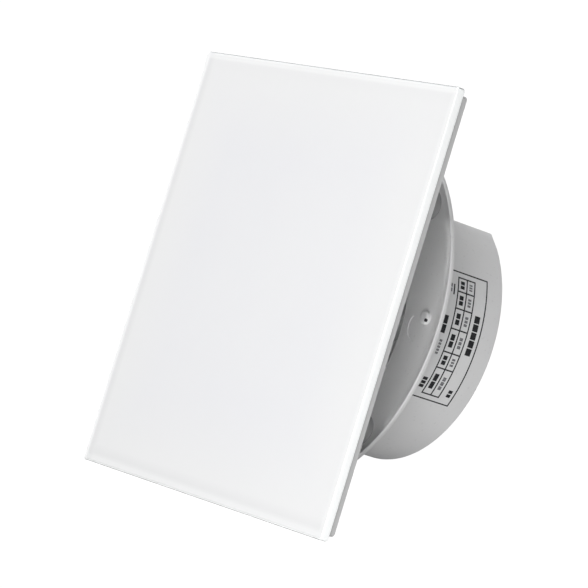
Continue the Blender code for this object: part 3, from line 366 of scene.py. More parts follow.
@dataclass(frozen=True)
class BackPaintedGlass(Finish):
    """Clear glass with a painted back, drawn opaque, with painted light and shade at its edges.

    Painted light bands inside the edges, a painted shadow line inside each band, painted shade on the top
    face and a painted glow on the other side faces stand in for light that the glass carries to its
    polished edges. The sizes of the panel's front face place the bands, which are widest on the side
    towards the main lamp.
    """

    centre: Point = (0.0, 0.0)
    half: float = 80 * MM
    front: float = 0.0
    arris: float = 0.6 * MM
    # band: width of the painted light band inside each edge
    band: float = 2.4 * MM
    painted_light_strengths: tuple[float, float, float, float] = (1.0, 0.22, 0.62, 0.3)
    painted_shadow_strengths: tuple[float, float, float, float] = (0.75, 0.0, 0.12, 0.5)
    painted_shadow_width: float = 3.4 * MM
    # glow: strength of the painted glow on the glass's side faces
    glow: float = 0.25
    pool_span: Point = (9 * MM, 34 * MM)
    pool_share: float = 0.8
    ripple: float = 0.004 * MM
    coat_ior: float = 1.52
    painted_light_colour: Colour = (0.955, 0.96, 0.96)
    painted_side_light: Colour = (0.95, 0.96, 0.96)
    painted_top_shade: Colour = (0.62, 0.645, 0.655)
    cool_colour: Colour = (0.835, 0.838, 0.862)

    def offsets(self, bench: NodeBench) -> list[Socket]:
        """Measures how far in a point lies from each edge.

        Args:
            bench: the glass's nodes.

        Returns:
            The distances from the left, right, top and bottom edges, in metres.
        """
        axes = bench.add("SeparateXYZ")
        bench.join(bench.place(), axes.inputs[0])
        x, z = self.centre
        return [
            bench.math("SUBTRACT", axes.outputs["X"], x - self.half),
            bench.math("SUBTRACT", x + self.half, axes.outputs["X"]),
            bench.math("SUBTRACT", z + self.half, axes.outputs["Z"]),
            bench.math("SUBTRACT", axes.outputs["Z"], z - self.half),
        ]

    def bands(self, bench: NodeBench, offsets: list[Socket]) -> Socket:
        """Draws the painted light band inside each edge.

        Args:
            bench: the glass's nodes.
            offsets: the distances from the edges.

        Returns:
            The light's strength.
        """
        fade = (self.band - 0.4 * MM, self.band + 0.5 * MM)
        pairs = zip(offsets, self.painted_light_strengths)
        return bench.largest([bench.ranged(offset, fade, (strength, 0)) for offset, strength in pairs])

    def lines(self, bench: NodeBench, offsets: list[Socket]) -> Socket:
        """Draws the painted soft shadow that follows each band.

        Args:
            bench: the glass's nodes.
            offsets: the distances from the edges.

        Returns:
            The painted shadow's strength.
        """
        parts = []
        width = self.painted_shadow_width
        for offset, strength in zip(offsets, self.painted_shadow_strengths):
            rise = bench.ranged(offset, (self.band, self.band + 0.4 * width), (0, strength))
            fall = bench.ranged(offset, (self.band + 0.5 * width, self.band + 1.4 * width), (1, 0))
            parts.append(bench.math("MULTIPLY", rise, fall))
        return bench.largest(parts)

    def make(self, bench: NodeBench) -> None:
        """Builds the glass.

        Args:
            bench: the nodes of its material.
        """
        offsets = self.offsets(bench)
        axes = bench.add("SeparateXYZ")
        bench.join(bench.place(), axes.inputs[0])
        facing = bench.ranged(axes.outputs["Y"], (self.front + 0.02 * MM, self.front + 0.1 * MM), UNIT)
        negatives = [bench.math("MULTIPLY", offset, -1.0) for offset in offsets]
        nearest = bench.math("MULTIPLY", bench.largest(negatives), -1.0)
        # the paint darker and cooler towards the middle, away from the edges
        pool = bench.ranged(nearest, self.pool_span, (0, self.pool_share))
        paint = bench.blend(pool, self.colour, self.cool_colour)
        cloud = bench.ranged(bench.noise(14, 3), (0.35, 0.65), (0, 0.4))
        mottled = bench.blend(cloud, paint, self.shade(1.012))
        # painted shadow: a soft darker line inside each painted light band
        with_painted_shadow = bench.blend(self.lines(bench, offsets), mottled, self.shade(0.92))
        # painted light: lighter bands inside the edges, strongest on the side towards the main lamp,
        # standing in for light the glass carries to its polished edges
        with_painted_light = bench.blend(self.bands(bench, offsets), with_painted_shadow, self.painted_light_colour)
        edge = 1.1 * self.arris
        # painted shade and light on the side faces: the top face a darker grey, the other side faces near
        # white with a painted glow, standing in for light passing out through the glass edges
        on_top = bench.ranged(offsets[2], (edge, edge - 0.3 * MM), UNIT)
        side = bench.blend(on_top, self.painted_side_light, self.painted_top_shade)
        painted_glow_faces = bench.math("MULTIPLY", facing, bench.math("SUBTRACT", 1.0, on_top))
        bench.put(
            Base_Color=bench.blend(facing, with_painted_light, side),
            Roughness=bench.ranged(bench.noise(60, 4), MID_NOISE, (0.05, 0.09)),
            IOR=self.coat_ior,
            Coat_Weight=1.0,
            Coat_Roughness=0.02,
            Coat_IOR=self.coat_ior,
            # painted glow on the side faces other than the top; the glass is no lamp
            Emission_Color=(0.97, 1.0, 0.99, 1),
            Emission_Strength=bench.math("MULTIPLY", painted_glow_faces, self.glow),
        )
        bench.relief([(bench.noise(18, 1), self.ripple)])


@dataclass(frozen=True)
class Metal(Finish):
    """Bare or plated metal with fine scratches and a little tarnish."""

    roughness: float = 0.3
    scratch: tuple[float, float, float] = (1.0, 1.0, 1.0)
    grain: float = 1400.0
    tarnish: float = 0.25
    stain: float = 140.0
    edge_lightening: float = 0.5
    scratch_depth: float = 0.008 * MM

    def make(self, bench: NodeBench) -> None:
        """Builds the metal.

        Args:
            bench: the nodes of its material.
        """
        stain = bench.ranged(bench.noise(self.stain, 4), (0.42, 0.7), (0, self.tarnish))
        base = bench.blend(stain, self.colour, self.shade(0.5))
        # worn edges: lighter where rubbing bares the metal
        surface_colour = bench.blend(bench.math("MULTIPLY", bench.edges(), self.edge_lightening), base, self.shade(1.25))
        lines = bench.noise(self.grain, 2, bench.stretched(self.scratch))
        rough = bench.ranged(lines, MID_NOISE, (self.roughness - 0.07, self.roughness + 0.09))
        bench.put(Base_Color=surface_colour, Roughness=rough, Metallic=1.0)
        bench.relief([(lines, self.scratch_depth)])


@dataclass(frozen=True)
class Laminations(Finish):
    """A stack of thin electrical-steel sheets, seen as fine lines along the motor's axis."""

    sheet: float = 0.5 * MM
    depth: float = 0.04 * MM
    rust: Colour = (0.19, 0.12, 0.08)

    def make(self, bench: NodeBench) -> None:
        """Builds the stack's surface.

        Args:
            bench: the nodes of its material.
        """
        lines = bench.wave(self.sheet)
        base = bench.blend(lines, self.shade(0.55), self.shade(1.1))
        spots = bench.ranged(bench.noise(220, 4), (0.56, 0.72), (0, 0.35))
        bench.put(
            Base_Color=bench.blend(spots, base, self.rust),
            Roughness=bench.ranged(bench.noise(500, 3), MID_NOISE, (0.38, 0.58)),
            Metallic=1.0,
        )
        bench.relief([(lines, self.depth)])


@dataclass(frozen=True)
class WoundWire(Finish):
    """Enamelled copper wire laid turn by turn under a coat of varnish."""

    wire: float = 0.4 * MM
    depth: float = 0.12 * MM
    varnish: Colour = (0.24, 0.07, 0.02)

    def make(self, bench: NodeBench) -> None:
        """Builds the winding's surface.

        Args:
            bench: the nodes of its material.
        """
        turns = bench.wave(self.wire, "DIAGONAL")
        base = bench.blend(turns, self.shade(0.45), self.shade(1.1))
        pooled = bench.ranged(bench.noise(180, 3), (0.45, 0.7), (0, 0.5))
        bench.put(
            Base_Color=bench.blend(pooled, base, self.varnish),
            Roughness=bench.ranged(turns, UNIT, (0.5, 0.28)),
            Metallic=0.85,
            Coat_Weight=0.6,
            Coat_Roughness=0.18,
        )
        bench.relief([(turns, self.depth)])


@dataclass(frozen=True)
class SoftSheet(Finish):
    """Foam, rubber or fibre: matt, with a cellular or mealy surface."""

    cell: float = 0.5 * MM
    depth: float = 0.05 * MM
    roughness: float = 0.85
    bloom: float = 0.12
    dust: Colour = (0.6, 0.59, 0.57)

    def make(self, bench: NodeBench) -> None:
        """Builds the soft surface.

        Args:
            bench: the nodes of its material.
        """
        cells = bench.add("TexVoronoi")
        bench.join(bench.place(), cells.inputs["Vector"])
        cells.inputs["Scale"].default_value = 1 / self.cell
        pores = cells.outputs["Distance"]
        base = bench.blend(pores, self.shade(0.8), self.shade(1.1))
        settled = bench.ranged(bench.noise(70, 4), (0.4, 0.7), (0, self.bloom))
        dusty = bench.blend(settled, base, self.dust)
        rough = bench.ranged(bench.noise(300, 2), MID_NOISE, (self.roughness - 0.08, self.roughness + 0.08))
        bench.put(Base_Color=dusty, Roughness=rough, Specular_IOR_Level=0.3)
        bench.relief([(pores, self.depth)])


@dataclass(frozen=True)
class PrintedInk(Finish):
    """Pad-printed ink: nearly flat, a little uneven where it lies thin."""

    thin: Colour = (0.3, 0.3, 0.3)
    coverage: float = 0.25
    depth: float = 0.004 * MM

    def make(self, bench: NodeBench) -> None:
        """Builds the ink.

        Args:
            bench: the nodes of its material.
        """
        patches = bench.ranged(bench.noise(1500, 3), (0.5, 0.75), (0, self.coverage))
        bench.put(
            Base_Color=bench.blend(patches, self.colour, self.thin),
            Roughness=bench.ranged(bench.noise(800, 2), MID_NOISE, (0.42, 0.6)),
            Specular_IOR_Level=0.35,
        )
        bench.relief([(patches, self.depth)])


@dataclass(frozen=True)
class StageFloor(Finish):
    """A pale matt studio floor with a little light of its own."""

    cloud: float = 1.5
    glow: float = 0.75

    def make(self, bench: NodeBench) -> None:
        """Builds the floor's surface.

        Args:
            bench: the nodes of its material.
        """
        cloud = bench.ranged(bench.noise(self.cloud, 2), MID_NOISE, UNIT)
        bench.put(
            Base_Color=bench.blend(cloud, self.shade(0.99), self.colour),
            Roughness=0.9,
            Specular_IOR_Level=0.1,
            Emission_Color=(1, 1, 1, 1),
            Emission_Strength=self.glow,
        )


WHITE = MouldedPlastic("white_moulding", (0.74, 0.74, 0.742), specks=0.12)
CARRIER_WHITE = MouldedPlastic("carrier_moulding", (0.62, 0.622, 0.62), roughness=0.38)
GREY = MouldedPlastic("impeller_moulding", (0.46, 0.465, 0.475), roughness=0.4, grain=1800)
# dark grey for the snap sockets: painted shade, standing in for the shadow they lie in
PAINTED_SHADE_GREY = MouldedPlastic("socket_painted_shade", (0.34, 0.342, 0.345), roughness=0.5, grain=1800)
BLACK = MouldedPlastic("black_moulding", (0.03, 0.03, 0.033), roughness=0.48, grain=1800)
BROWN = MouldedPlastic("brown_insulation", (0.14, 0.055, 0.022), roughness=0.45)
BLUE = MouldedPlastic("blue_insulation", (0.02, 0.085, 0.33), roughness=0.45)
STEEL = Metal("zinc_plated_steel", (0.6, 0.62, 0.64), roughness=0.28, grain=2200)
GROUND_STEEL = Metal("ground_steel", (0.66, 0.66, 0.67), 0.2, (1, 18, 1), 900, 0.08)
ALUMINIUM = Metal("cast_aluminium", (0.66, 0.67, 0.69), 0.5, grain=2600, tarnish=0.15)
BRONZE = Metal("sintered_bronze", (0.5, 0.33, 0.15), 0.52, grain=5200, tarnish=0.4)
BRASS = Metal("turned_brass", (0.76, 0.56, 0.24), 0.26, (1, 12, 1), 900, 0.2)
LAMINATION = Laminations("lamination_stack", (0.36, 0.36, 0.37))
COPPER = WoundWire("wound_copper", (0.78, 0.3, 0.13))
COPPER_BAR = Metal("copper_ring", (0.8, 0.34, 0.18), 0.3, tarnish=0.35)
FOAM = SoftSheet("foam_tape", (0.74, 0.735, 0.71), cell=0.35 * MM, depth=0.08 * MM)
RUBBER = SoftSheet("grommet_rubber", (0.05, 0.05, 0.052), cell=0.25 * MM, depth=0.02 * MM, roughness=0.7)
FIBRE = SoftSheet("fibre_washer", (0.4, 0.13, 0.07), cell=0.3 * MM, depth=0.02 * MM, bloom=0.05)
INK = PrintedInk("black_ink", (0.018, 0.018, 0.02), coverage=0.12)
FAINT_INK = PrintedInk("faint_ink", (0.16, 0.16, 0.17), (0.42, 0.42, 0.42), 0.8)


# ---------------------------------------------------------------- mesh work


def arc(centre: Point, radius: float, start: float, end: float, steps: int) -> Outline:
    """Points along an arc.

    Args:
        centre: the arc's centre.
        radius: its radius.
        start: the first angle, in degrees.
        end: the last angle, in degrees.
        steps: how many straight steps it takes.

    Returns:
        The points, both ends included.
    """
    turns = [math.radians(start + (end - start) * i / steps) for i in range(steps + 1)]
    return [(centre[0] + radius * math.cos(a), centre[1] + radius * math.sin(a)) for a in turns]


def circle(centre: Point, radius: float, steps: int = 64) -> Outline:
    """A full circle without its closing point."""
    return arc(centre, radius, 0, 360, steps)[:-1]


def eased(corners: Sequence[Corner], steps: int = 5) -> Outline:
    """A closed outline whose corners are rounded.

    Args:
        corners: each corner as two coordinates and its radius, 0 for a sharp one.
        steps: straight steps in each rounding.

    Returns:
        The outline's points.
    """
    points: Outline = []
    count = len(corners)
    for index, (x, y, radius) in enumerate(corners):
        here = Vector((x, y))
        back = (Vector(corners[index - 1][:2]) - here).normalized()
        ahead = (Vector(corners[(index + 1) % count][:2]) - here).normalized()
        opening = back.angle(ahead) if radius else math.pi
        if math.pi - opening < STRAIGHT:
            points.append((x, y))
            continue
        centre = here + (back + ahead).normalized() * radius / math.sin(opening / 2)
        first = here + back * radius / math.tan(opening / 2) - centre
        last = here + ahead * radius / math.tan(opening / 2) - centre
        for step in range(steps + 1):
            ray = first.slerp(last, step / steps).normalized() * radius
            points.append((centre.x + ray.x, centre.y + ray.y))
    return points


def round_box(low: Point, high: Point, radius: float, steps: int = 6) -> Outline:
    """A rectangle with rounded corners."""
    corners = ((low[0], low[1]), (high[0], low[1]), (high[0], high[1]), (low[0], high[1]))
    return eased([(x, y, radius) for x, y in corners], steps)


def turned_outline(points: Outline, degrees: float) -> Outline:
    """An outline turned about the frame's Y axis, as seen from the room's side."""
    c, s = math.cos(math.radians(degrees)), math.sin(math.radians(degrees))
    return [(c * x - s * z, s * x + c * z) for x, z in points]


def inset_outline(points: Outline, distance: float) -> Outline:
    """An outline moved inwards, each corner along its own bisector.

    Args:
        points: the outline, anticlockwise for an outer edge and clockwise for a hole.
        distance: how far the edge moves to its left.

    Returns:
        The moved outline, with as many points.
    """
    moved: Outline = []
    count = len(points)
    for index, (x, z) in enumerate(points):
        here = Vector((x, z))
        along = [(here - Vector(points[index - 1])), (Vector(points[(index + 1) % count]) - here)]
        normals = [Vector((-a.y, a.x)).normalized() for a in along]
        between = (normals[0] + normals[1]).normalized()
        reach = distance / max(SHARPEST, between.dot(normals[0]))
        moved.append((x + between.x * reach, z + between.y * reach))
    return moved


def area(points: Outline) -> float:
    """The outline's signed area, positive where it runs anticlockwise."""
    ahead = points[1:] + points[:1]
    return sum(a[0] * b[1] - b[0] * a[1] for a, b in zip(points, ahead)) / 2


class Shape:
    """A mesh under construction, in the frame's own coordinates."""

    def __init__(self) -> None:
        """Starts empty."""
        self.mesh = bmesh.new()

    def strip(self, first: Loop, second: Loop) -> None:
        """Joins two closed loops of points with faces, where a loop of one point closes to a tip.

        Args:
            first: one loop.
            second: the other, with as many points or only one.
        """
        count = max(len(first), len(second))
        for i in range(count):
            j = (i + 1) % count
            corners = [(first, i), (first, j), (second, j), (second, i)]
            unique = list(dict.fromkeys(loop[index % len(loop)] for loop, index in corners))
            if len(unique) > 2:
                self.mesh.faces.new(unique)

    def revolve(self, profile: Outline, centre: Point = (0.0, 0.0), steps: int = 96) -> "Shape":
        """Adds a solid turned about a line along Y.

        Args:
            profile: a closed half section as (radius, Y) points.
            centre: where the line crosses X and Z.
            steps: faces round the turn.

        Returns:
            This shape.
        """
        rings = []
        for radius, along in profile:
            if radius < 1e-9:
                rings.append([self.mesh.verts.new((centre[0], along, centre[1]))])
                continue
            spots = circle(centre, radius, steps)
            rings.append([self.mesh.verts.new((x, along, z)) for x, z in spots])
        for index, ring in enumerate(rings):
            following = rings[(index + 1) % len(rings)]
            if len(ring) > 1 or len(following) > 1:
                self.strip(ring, following)
        return self

    def slab(
        self, outlines: Sequence[Outline], front: float, back: float, edge: float = 0.0, steps: int = 3
    ) -> "Shape":
        """Adds a flat piece across Y with rounded edges.

        Args:
            outlines: the outer (X, Z) outline, then any holes.
            front: Y of the face on the room's side.
            back: Y of the other face.
            edge: radius of the rounding along every edge.
            steps: straight steps in the rounding.

        Returns:
            This shape.
        """
        stations = [(0.0, front), (0.0, back)]
        if edge:
            turns = [math.pi / 2 * i / steps for i in range(steps + 1)]
            stations = [(edge * (1 - math.sin(a)), front + edge * (1 - math.cos(a))) for a in turns]
            stations += [(edge * (1 - math.sin(a)), back - edge * (1 - math.cos(a))) for a in turns[::-1]]
        caps: tuple[list[Loop], list[Loop]] = ([], [])
        for index, outline in enumerate(outlines):
            wants = 1 if index == 0 else -1
            points = outline if area(outline) * wants > 0 else outline[::-1]
            loops = []
            for inset, y in stations:
                moved = inset_outline(points, inset) if inset else points
                loops.append([self.mesh.verts.new((x, y, z)) for x, z in moved])
            for first, second in zip(loops, loops[1:]):
                self.strip(first, second)
            caps[0].append(loops[0])
            caps[1].append(loops[-1])
        for loops in caps:
            flat = [vert for loop in loops for vert in loop]
            spots = [[Vector((v.co.x, v.co.z, 0)) for v in loop] for loop in loops]
            for corners in tessellate_polygon(spots):
                if len(set(corners)) == 3 and not self.mesh.faces.get([flat[c] for c in corners]):
                    self.mesh.faces.new([flat[c] for c in corners])
        return self

    def grid(self, rows: Sequence[Sequence[Vector]]) -> "Shape":
        """Adds a solid skinned over rows of points, with its ends filled.

        Args:
            rows: the points, each row closed on itself.

        Returns:
            This shape.
        """
        loops = [[self.mesh.verts.new(point) for point in row] for row in rows]
        for first, second in zip(loops, loops[1:]):
            self.strip(first, second)
        self.mesh.faces.new(loops[0][::-1])
        self.mesh.faces.new(loops[-1])
        return self

    def bar(self, low: Sequence[float], high: Sequence[float], edge: float) -> "Shape":
        """Adds a bar whose edges along X and Z are rounded, between two corners."""
        outline = round_box((low[0], low[2]), (high[0], high[2]), edge, 3)
        return self.slab([outline], low[1], high[1], edge * 0.8)

    def place(self, matrix: Matrix) -> "Shape":
        """Moves everything made so far."""
        self.mesh.transform(matrix)
        return self

    def merge(self, other: "Shape") -> "Shape":
        """Takes in another shape's faces.

        Args:
            other: the shape, which stays as it is.

        Returns:
            This shape.
        """
        spare = bpy.data.meshes.new("spare")
        other.mesh.to_mesh(spare)
        self.mesh.from_mesh(spare)
        bpy.data.meshes.remove(spare)
        return self

    def object(self, name: str, finish: Finish, crease: float = CREASE) -> Piece:
        """Turns the shape into a finished object.

        Args:
            name: the object's name.
            finish: what it is made of.
            crease: edges sharper than this many degrees stay sharp.

        Returns:
            The object.
        """
        bmesh.ops.recalc_face_normals(self.mesh, faces=self.mesh.faces)
        for face in self.mesh.faces:
            face.smooth = True
        mesh = bpy.data.meshes.new(name)
        self.mesh.to_mesh(mesh)
        self.mesh.free()
        mesh.set_sharp_from_angle(angle=math.radians(crease))
        mesh.materials.append(finish.made())
        made = bpy.data.objects.new(name, mesh)
        bpy.context.scene.collection.objects.link(made)
        even = made.modifiers.new("even_shading", "WEIGHTED_NORMAL")
        even.keep_sharp = True
        return made


def tube(name: str, points: Sequence[Vector], radius: float, finish: Finish) -> Piece:
    """A round wire along a smooth curve.

    Args:
        name: the object's name.
        points: what the curve is drawn towards.
        radius: the wire's radius.
        finish: what it is made of.

    Returns:
        The wire as a mesh object.
    """
    curve = bpy.data.curves.new(name, "CURVE")
    curve.dimensions = "3D"
    curve.bevel_depth = radius
    curve.bevel_resolution = 4
    curve.resolution_u = 8
    curve.use_fill_caps = True
    spline = curve.splines.new("NURBS")
    spline.points.add(len(points) - 1)
    for point, place in zip(spline.points, points):
        point.co = (*place, 1)
    spline.order_u = 3
    spline.use_endpoint_u = True
    drawn = bpy.data.objects.new(name + "_line", curve)
    bpy.context.scene.collection.objects.link(drawn)
    graph = bpy.context.evaluated_depsgraph_get()
    mesh = bpy.data.meshes.new_from_object(drawn.evaluated_get(graph))
    bpy.data.objects.remove(drawn, do_unlink=True)
    mesh.materials.clear()
    mesh.materials.append(finish.made())
    mesh.shade_smooth()
    mesh.name = name
    made = bpy.data.objects.new(name, mesh)
    bpy.context.scene.collection.objects.link(made)
    return made


def drilled(target: Piece, cutter: Shape) -> Piece:
    """Cuts one shape out of a finished object.

    Args:
        target: the object to cut.
        cutter: what is taken away.

    Returns:
        The target.
    """
    tool = cutter.object(target.name + "_cutter", BLACK)
    made = target.modifiers.new("cut", "BOOLEAN")
    made.operation = "DIFFERENCE"
    made.object = tool
    target.modifiers.move(len(target.modifiers) - 1, 0)
    bpy.context.view_layer.update()
    graph = bpy.context.evaluated_depsgraph_get()
    mesh = bpy.data.meshes.new_from_object(target.evaluated_get(graph))
    target.modifiers.remove(made)
    target.data = mesh
    bpy.data.objects.remove(tool, do_unlink=True)
    mesh.set_sharp_from_angle(angle=math.radians(CREASE))
    return target


def seat(piece: Piece, body: Body, slot: Slot, *nodes: str) -> Piece:
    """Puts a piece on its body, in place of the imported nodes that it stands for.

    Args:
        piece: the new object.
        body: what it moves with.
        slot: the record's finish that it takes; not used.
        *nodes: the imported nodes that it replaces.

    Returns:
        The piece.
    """
    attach(piece, body.value)
    if nodes:
        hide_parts(*nodes)
    log.info("%s: %d faces on %s", piece.name, len(piece.data.polygons), body.value)
    return piece


def dress(node: str, finish: Finish) -> None:
    """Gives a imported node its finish.

    Args:
        node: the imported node's name.
        finish: what it is made of.
    """
    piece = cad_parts[node]
    for slot in piece.material_slots:
        slot.material = finish.made()
    log.info("%s: %s", node, finish.name)


def spot(angle: float, radius: float, centre: Point) -> Point:
    """The point at an angle in degrees and a radius round a line along Y."""
    return arc(centre, radius, angle, angle, 1)[0]


def middle(node: str) -> Point:
    """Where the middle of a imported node's box lies across the axis, as (X, Z)."""
    low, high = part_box(node)
    return ((low.x + high.x) / 2, (low.z + high.z) / 2)


def half_width(node: str) -> float:
    """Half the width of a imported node's box along X."""
    low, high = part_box(node)
    return (high.x - low.x) / 2


def square(offset: float) -> Outline:
    """Four places in a square round the frame's Y axis."""
    return [(side * offset, level * offset) for side in (-1, 1) for level in (-1, 1)]


def screw_head(
    centre: Point, front: float, seat_y: float, radius: float, slot: float, turn: float
) -> Shape:
    """A domed head with a driver slot, built as two halves with the slot's floor between them.

    Args:
        centre: the screw's axis, as (X, Z).
        front: Y of the top of the head.
        seat_y: Y of its underside.
        radius: the head's radius.
        slot: the slot's width.
        turn: the slot's angle in degrees.

    Returns:
        The head.
    """
    slot_depth, skirt, dome, overlap = 0.55, 0.98, 0.42, 0.02 * MM
    floor = front + (seat_y - front) * slot_depth
    rim = skirt * radius
    made = Shape().revolve([(0, floor), (rim, floor), (rim, seat_y), (0, seat_y)], (0, 0), 48)
    height = floor - front
    limit = math.degrees(math.asin(slot / 2 / radius))
    levels = 6
    for side in (0, 180):
        rows = []
        for level in range(levels + 1):
            rise = level / levels * math.pi / 2
            reach = radius * (1 - dome * (1 - math.cos(rise)))
            y = floor + overlap - height * math.sin(rise)
            bound = arc((0, 0), reach, side + limit, side + 180 - limit, 24)
            rows.append([Vector((x, y, z)) for x, z in bound])
        made.grid(rows)
    turned = Matrix.Rotation(-math.radians(turn), 4, "Y")
    return made.place(Matrix.Translation((centre[0], 0, centre[1])) @ turned)


# ---------------------------------------------------------------- front panel


@dataclass
class FrontPanel:
    """The glass, its foam tapes and the moulded carrier that snaps onto the fan."""

    arris: float = 0.6 * MM
    glass_corner: float = 1.2 * MM
    bond_gap: float = 0.05 * MM
    carrier_skin: float = 1.4 * MM
    carrier_edge: float = 0.45 * MM
    carrier_corner: float = 1.5 * MM
    carrier_rim: float = 2.4 * MM
    carrier_rib: float = 2.0 * MM
    carrier_depth: float = 2.5 * MM
    skin_margin: float = 1 * MM
    pocket_corner: float = 0.8 * MM
    pockets: int = 3
    post_offset: float = 41.295 * MM
    post_radius: float = 2.5 * MM
    post_root: float = 4.2 * MM
    post_root_length: float = 5.0 * MM
    post_tip: float = -2.0 * MM

    def glass(self) -> Piece:
        """The glass sheet with its polished arrises.

        Returns:
            The sheet.
        """
        low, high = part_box("glass_panel")
        outline = round_box((low.x, low.z), (high.x, high.z), self.glass_corner, 8)
        finish = BackPaintedGlass(
            "glass_with_painted_edge_light",
            (0.86, 0.862, 0.866),
            centre=middle("glass_panel"),
            half=half_width("glass_panel"),
            front=low.y,
            arris=self.arris,
        )
        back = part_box("adhesive_strip_top")[0].y - self.bond_gap
        return Shape().slab([outline], low.y, back, self.arris, 2).object("front_glass", finish)

    def post(self, root_y: float) -> Outline:
        """Half section of a snap post from its flared root to its round tip.

        Args:
            root_y: Y of the skin that it stands on.

        Returns:
            The section, as (radius, Y) points.
        """
        taper = self.post_root - self.post_radius
        shoulder = root_y + self.post_root_length
        sunk = root_y - 0.5 * MM
        return eased(
            [
                (0, sunk, 0),
                (self.post_root, sunk, 0),
                (self.post_root, shoulder, 0.5 * MM),
                (self.post_radius, shoulder + taper, 0.8 * MM),
                (self.post_radius, self.post_tip, 1.2 * MM),
                (0, self.post_tip, 0),
            ]
        )

    def carrier(self) -> Piece:
        """The carrier: a thin skin, a grid of ribs behind it and four posts.

        Returns:
            The carrier.
        """
        low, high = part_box("panel_carrier")
        back = low.y + self.carrier_depth
        floor = low.y + self.carrier_skin
        outline = round_box((low.x, low.z), (high.x, high.z), self.carrier_corner)
        clear = high.x - low.x - 2 * self.carrier_rim
        pitch = (clear + self.carrier_rib) / self.pockets
        size = pitch - self.carrier_rib
        holes = []
        for column in range(self.pockets):
            for row in range(self.pockets):
                x = low.x + self.carrier_rim + column * pitch
                z = low.z + self.carrier_rim + row * pitch
                holes.append(round_box((x, z), (x + size, z + size), self.pocket_corner, 3))
        shape = Shape().slab([outline, *holes], low.y, back, self.carrier_edge)
        margin = self.skin_margin
        corners = ((low.x + margin, low.z + margin), (high.x - margin, high.z - margin))
        shape.slab([round_box(*corners, self.carrier_corner)], low.y + 0.02 * MM, floor)
        for centre in square(self.post_offset):
            shape.revolve(self.post(floor), centre, 48)
        return shape.object("carrier_moulding", CARRIER_WHITE)

    def build(self) -> None:
        """Makes and seats the panel's pieces."""
        seat(self.glass(), Body.PANEL, Slot.GLASS, "glass_panel")
        seat(self.carrier(), Body.PANEL, Slot.WHITE, "panel_carrier")
        for side in ("left", "right", "top", "bottom"):
            dress(f"adhesive_strip_{side}", FOAM)


# ---------------------------------------------------------------- fan moulding


